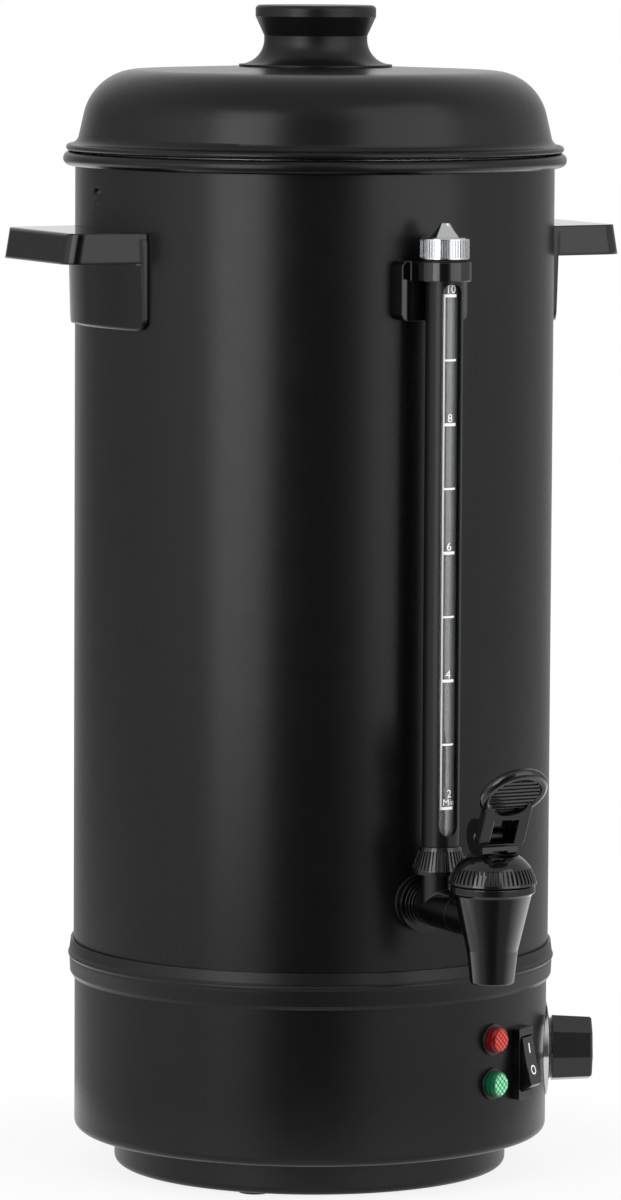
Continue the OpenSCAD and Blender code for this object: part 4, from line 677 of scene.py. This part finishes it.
# %% Bars and rings
def bar(length, height, steps):
    """A flat bar about the origin: a rectangle in (up, out) carried along x. Gives its points as
    (x, up, out) and its faces."""
    x = np.linspace(-length / 2, length / 2, steps)
    up_out = np.array([(-height / 2, LIFT), (height / 2, LIFT),
                       (height / 2, LIFT + INK), (-height / 2, LIFT + INK)])
    points = np.concatenate([np.repeat(x, 4)[:, None], np.tile(up_out, (steps, 1))], axis=1)
    i, k = np.meshgrid(np.arange(steps - 1), np.arange(4), indexing="ij")
    after = (k + 1) % 4
    sides = np.stack([4 * i + k, 4 * i + after, 4 * i + 4 + after, 4 * i + 4 + k], axis=-1)
    ends = np.array([(0, 1, 2, 3), 4 * steps - 1 - np.arange(4)])
    return points, np.concatenate([sides.reshape(-1, 4), ends])


def hoop(radius, stroke, steps):
    """A flat ring about the origin: the same rectangle carried round a circle."""
    turn = np.linspace(0, 2 * np.pi, steps, endpoint=False)
    inner, outer = radius - stroke / 2, radius + stroke / 2
    r_out = np.array([(inner, LIFT), (outer, LIFT), (outer, LIFT + INK), (inner, LIFT + INK)])
    points = np.stack([np.outer(np.sin(turn), r_out[:, 0]), np.outer(np.cos(turn), r_out[:, 0]),
                       np.tile(r_out[:, 1], (steps, 1))], axis=-1)
    i, k = np.meshgrid(np.arange(steps), np.arange(4), indexing="ij")
    after, onward = (k + 1) % 4, (i + 1) % steps
    faces = np.stack([4 * i + k, 4 * i + after, 4 * onward + after, 4 * onward + k], axis=-1)
    return points.reshape(-1, 3), faces.reshape(-1, 4)


print("a bar of 2 steps has", len(bar(1, 1, steps=2)[1]), "faces")

# %% [markdown]
# ## Letters and numbers
# Blender's text object has the letters ready, and a Simple Deform modifier could bend it. Its
# faces are too large to bend smoothly, so it is made a mesh first and cut into narrow strips,
# which let each letter follow the tube.

# %% Letters
LETTER_CUTS, LETTER_CUT = np.arange(-8, 9), 0.0004


def vertex_array(mesh):
    """A mesh's vertices as an array of (x, y, z)."""
    flat = np.empty(3 * len(mesh.vertices), dtype=np.float32)
    mesh.vertices.foreach_get("co", flat)
    return flat.reshape(-1, 3).astype(float)


def lettering(words, height):
    """Words as a closed flat solid of the print's thickness, centred on x and with the foot at
    0. Cuts 0.4 mm apart let it follow a curve later."""
    curve = bpy.data.curves.new("letters", "FONT")
    curve.body, curve.align_x, curve.extrude = words, "CENTER", 0.5
    holder = bpy.data.objects.new("letters", curve)
    scene.collection.objects.link(holder)
    mesh = bpy.data.meshes.new_from_object(
        holder.evaluated_get(bpy.context.evaluated_depsgraph_get()))
    bpy.data.objects.remove(holder)
    upright = vertex_array(mesh)[:, 1]
    scale = height / np.ptp(upright)
    grid = bmesh.new()
    grid.from_mesh(mesh)
    for cut in LETTER_CUTS * LETTER_CUT / scale:
        bmesh.ops.bisect_plane(grid, geom=[*grid.verts, *grid.edges, *grid.faces],
                               plane_co=(cut, 0, 0), plane_no=(1, 0, 0))
    bmesh.ops.remove_doubles(grid, verts=grid.verts, dist=1e-5)
    grid.to_mesh(mesh)
    grid.free()
    x, y, z = vertex_array(mesh).T
    points = np.stack([x * scale, (y - upright.min()) * scale, LIFT + INK * (z + 0.5)], axis=-1)
    corners = np.empty(len(mesh.loops), dtype=np.int32)
    sizes = np.empty(len(mesh.polygons), dtype=np.int32)
    mesh.loops.foreach_get("vertex_index", corners)
    mesh.polygons.foreach_get("loop_total", sizes)
    return points, np.split(corners, np.cumsum(sizes)[:-1])


def printed(name, shapes, body):
    """Joins placed shapes into one piece in white ink that rides on a body."""
    points, faces, start = [], [], 0
    for shape_points, shape_faces in shapes:
        points.append(shape_points)
        faces += [(start + face).tolist() for face in shape_faces]
        start += len(shape_points)
    new_piece(name, np.concatenate(points), faces, ink, body)


print("letters are cut every", 1000 * LETTER_CUT, "mm")

# %% [markdown]
# ## The litre scale
# One upright line runs down the tube, with a tick at each litre and a number at every second
# one. The marks lie 28 mm apart, which is one litre in a tank of this width. A Shrinkwrap
# modifier could lay flat marks on the tube. Here each is drawn flat and then wrapped round it
# by a formula, which keeps its thickness: x becomes an angle of x / r.

# %% Litre scale
tube_low, tube_high = (np.array(corner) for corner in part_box("sight_tube"))
tube_axis = (tube_low + tube_high)[:2] / 2
tube_r = (tube_high - tube_low)[0] / 2
TEN_Z, TWO_Z = 0.4015, 0.1784
LITRE = (TEN_Z - TWO_Z) / 8
LINE_DEGREES, LINE_BEARING = 7, -27.5
TICK_DEGREES, TICK_BEARING = 61, -0.5
EVEN_TICK, ODD_TICK = 0.0013, 0.0009
NUMBER_H, NUMBER_GAP = 0.0035, 0.0011
MIN_H, MIN_GAP, TWO_H, TWO_GAP, LOW_BEARING = 0.0028, 0.0012, 0.0034, 0.0047, 9.5


def on_tube(shape, bearing, z):
    """Wraps a flat shape round the tube, with the shape's origin at a bearing and a height z: a
    point (x, up, out) goes to the angle bearing + x / r, the radius r + out and z + up."""
    points, faces = shape
    angle = math.radians(bearing) + points[:, 0] / tube_r
    r = tube_r + points[:, 2]
    return np.stack([tube_axis[0] + r * np.sin(angle), tube_axis[1] - r * np.cos(angle),
                     z + points[:, 1]], axis=-1), faces


def arc(degrees):
    """The length round the tube of an angle."""
    return math.radians(degrees) * tube_r


line = bar(arc(LINE_DEGREES), TEN_Z - TWO_Z, steps=4)
marks = [on_tube(line, LINE_BEARING, (TEN_Z + TWO_Z) / 2)]
for litre in range(2, 11):
    z = TWO_Z + (litre - 2) * LITRE
    even = litre % 2 == 0
    tick = bar(arc(TICK_DEGREES), EVEN_TICK if even else ODD_TICK, steps=14)
    marks.append(on_tube(tick, TICK_BEARING, z))
    if even and litre > 2:
        marks.append(on_tube(lettering(str(litre), NUMBER_H), 0, z + NUMBER_GAP))
marks.append(on_tube(lettering("Min", MIN_H), LOW_BEARING, TWO_Z + MIN_GAP))
marks.append(on_tube(lettering("2", TWO_H), LOW_BEARING, TWO_Z + TWO_GAP))
printed("litre_scale", marks, "urn")

# %% [markdown]
# ## The switch's marks
# The rocker's face is two slopes that meet over its pivot, and it rests tilted with the upper
# half pressed in. Marks laid flat in front of it would float, so they are bent over the slopes
# and turned with them.

# %% Rocker marks
SWITCH_BEARING, ROCKER_PIN_R, ROCKER_Z = 34.5, 0.1075, 0.0554
ROCKER_RISE, ROCKER_DIP, ROCKER_TILT = 0.0056, math.radians(2.5), math.radians(13)
LINE_MARK_W, LINE_MARK_H, LINE_MARK_UP = 0.0009, 0.0044, 0.0057
RING_MARK_R, RING_MARK_STROKE, RING_MARK_UP = 0.0018, 0.0007, -0.0042


def at_side(bearing, across, out, z):
    """Points at a bearing: across to its right, out from the urn's axis, and at a height z."""
    side = math.radians(bearing)
    return np.stack([out * math.sin(side) + across * math.cos(side),
                     across * math.sin(side) - out * math.cos(side), z], axis=-1)


def on_rocker(shape, up_face):
    """Lays a flat shape on the rocker: out = rise + |up| tan(dip) + height, turned by the
    tilt."""
    points, faces = shape
    v = points[:, 1] + up_face
    u = ROCKER_RISE + np.abs(v) * math.tan(ROCKER_DIP) + points[:, 2]
    out = ROCKER_PIN_R + u * math.cos(ROCKER_TILT) - v * math.sin(ROCKER_TILT)
    z = ROCKER_Z + u * math.sin(ROCKER_TILT) + v * math.cos(ROCKER_TILT)
    return at_side(SWITCH_BEARING, points[:, 0], out, z), faces


line_mark = on_rocker(bar(LINE_MARK_W, LINE_MARK_H, steps=2), LINE_MARK_UP)
ring_mark = on_rocker(hoop(RING_MARK_R, RING_MARK_STROKE, steps=48), RING_MARK_UP)
printed("rocker_marks", [line_mark, ring_mark], "rocker")

# %% [markdown]
# ## The dial's pointer
# A knob needs a mark that shows where it stands: here a line on its end face, which the
# photograph's side view doesn't show. It is the same flat bar, stood on that face, and it
# rides on the dial, so that it turns with it.

# %% Dial pointer
DIAL_BEARING, DIAL_Z, DIAL_FACE_R = 65, 0.0528, 0.1278
POINTER_W, POINTER_L, POINTER_UP = 0.0012, 0.007, 0.0075

points, faces = bar(POINTER_W, POINTER_L, steps=2)
pointer = at_side(DIAL_BEARING, points[:, 0], DIAL_FACE_R + points[:, 2],
                  DIAL_Z + POINTER_UP + points[:, 1])
printed("dial_pointer", [(pointer, faces)], "dial")
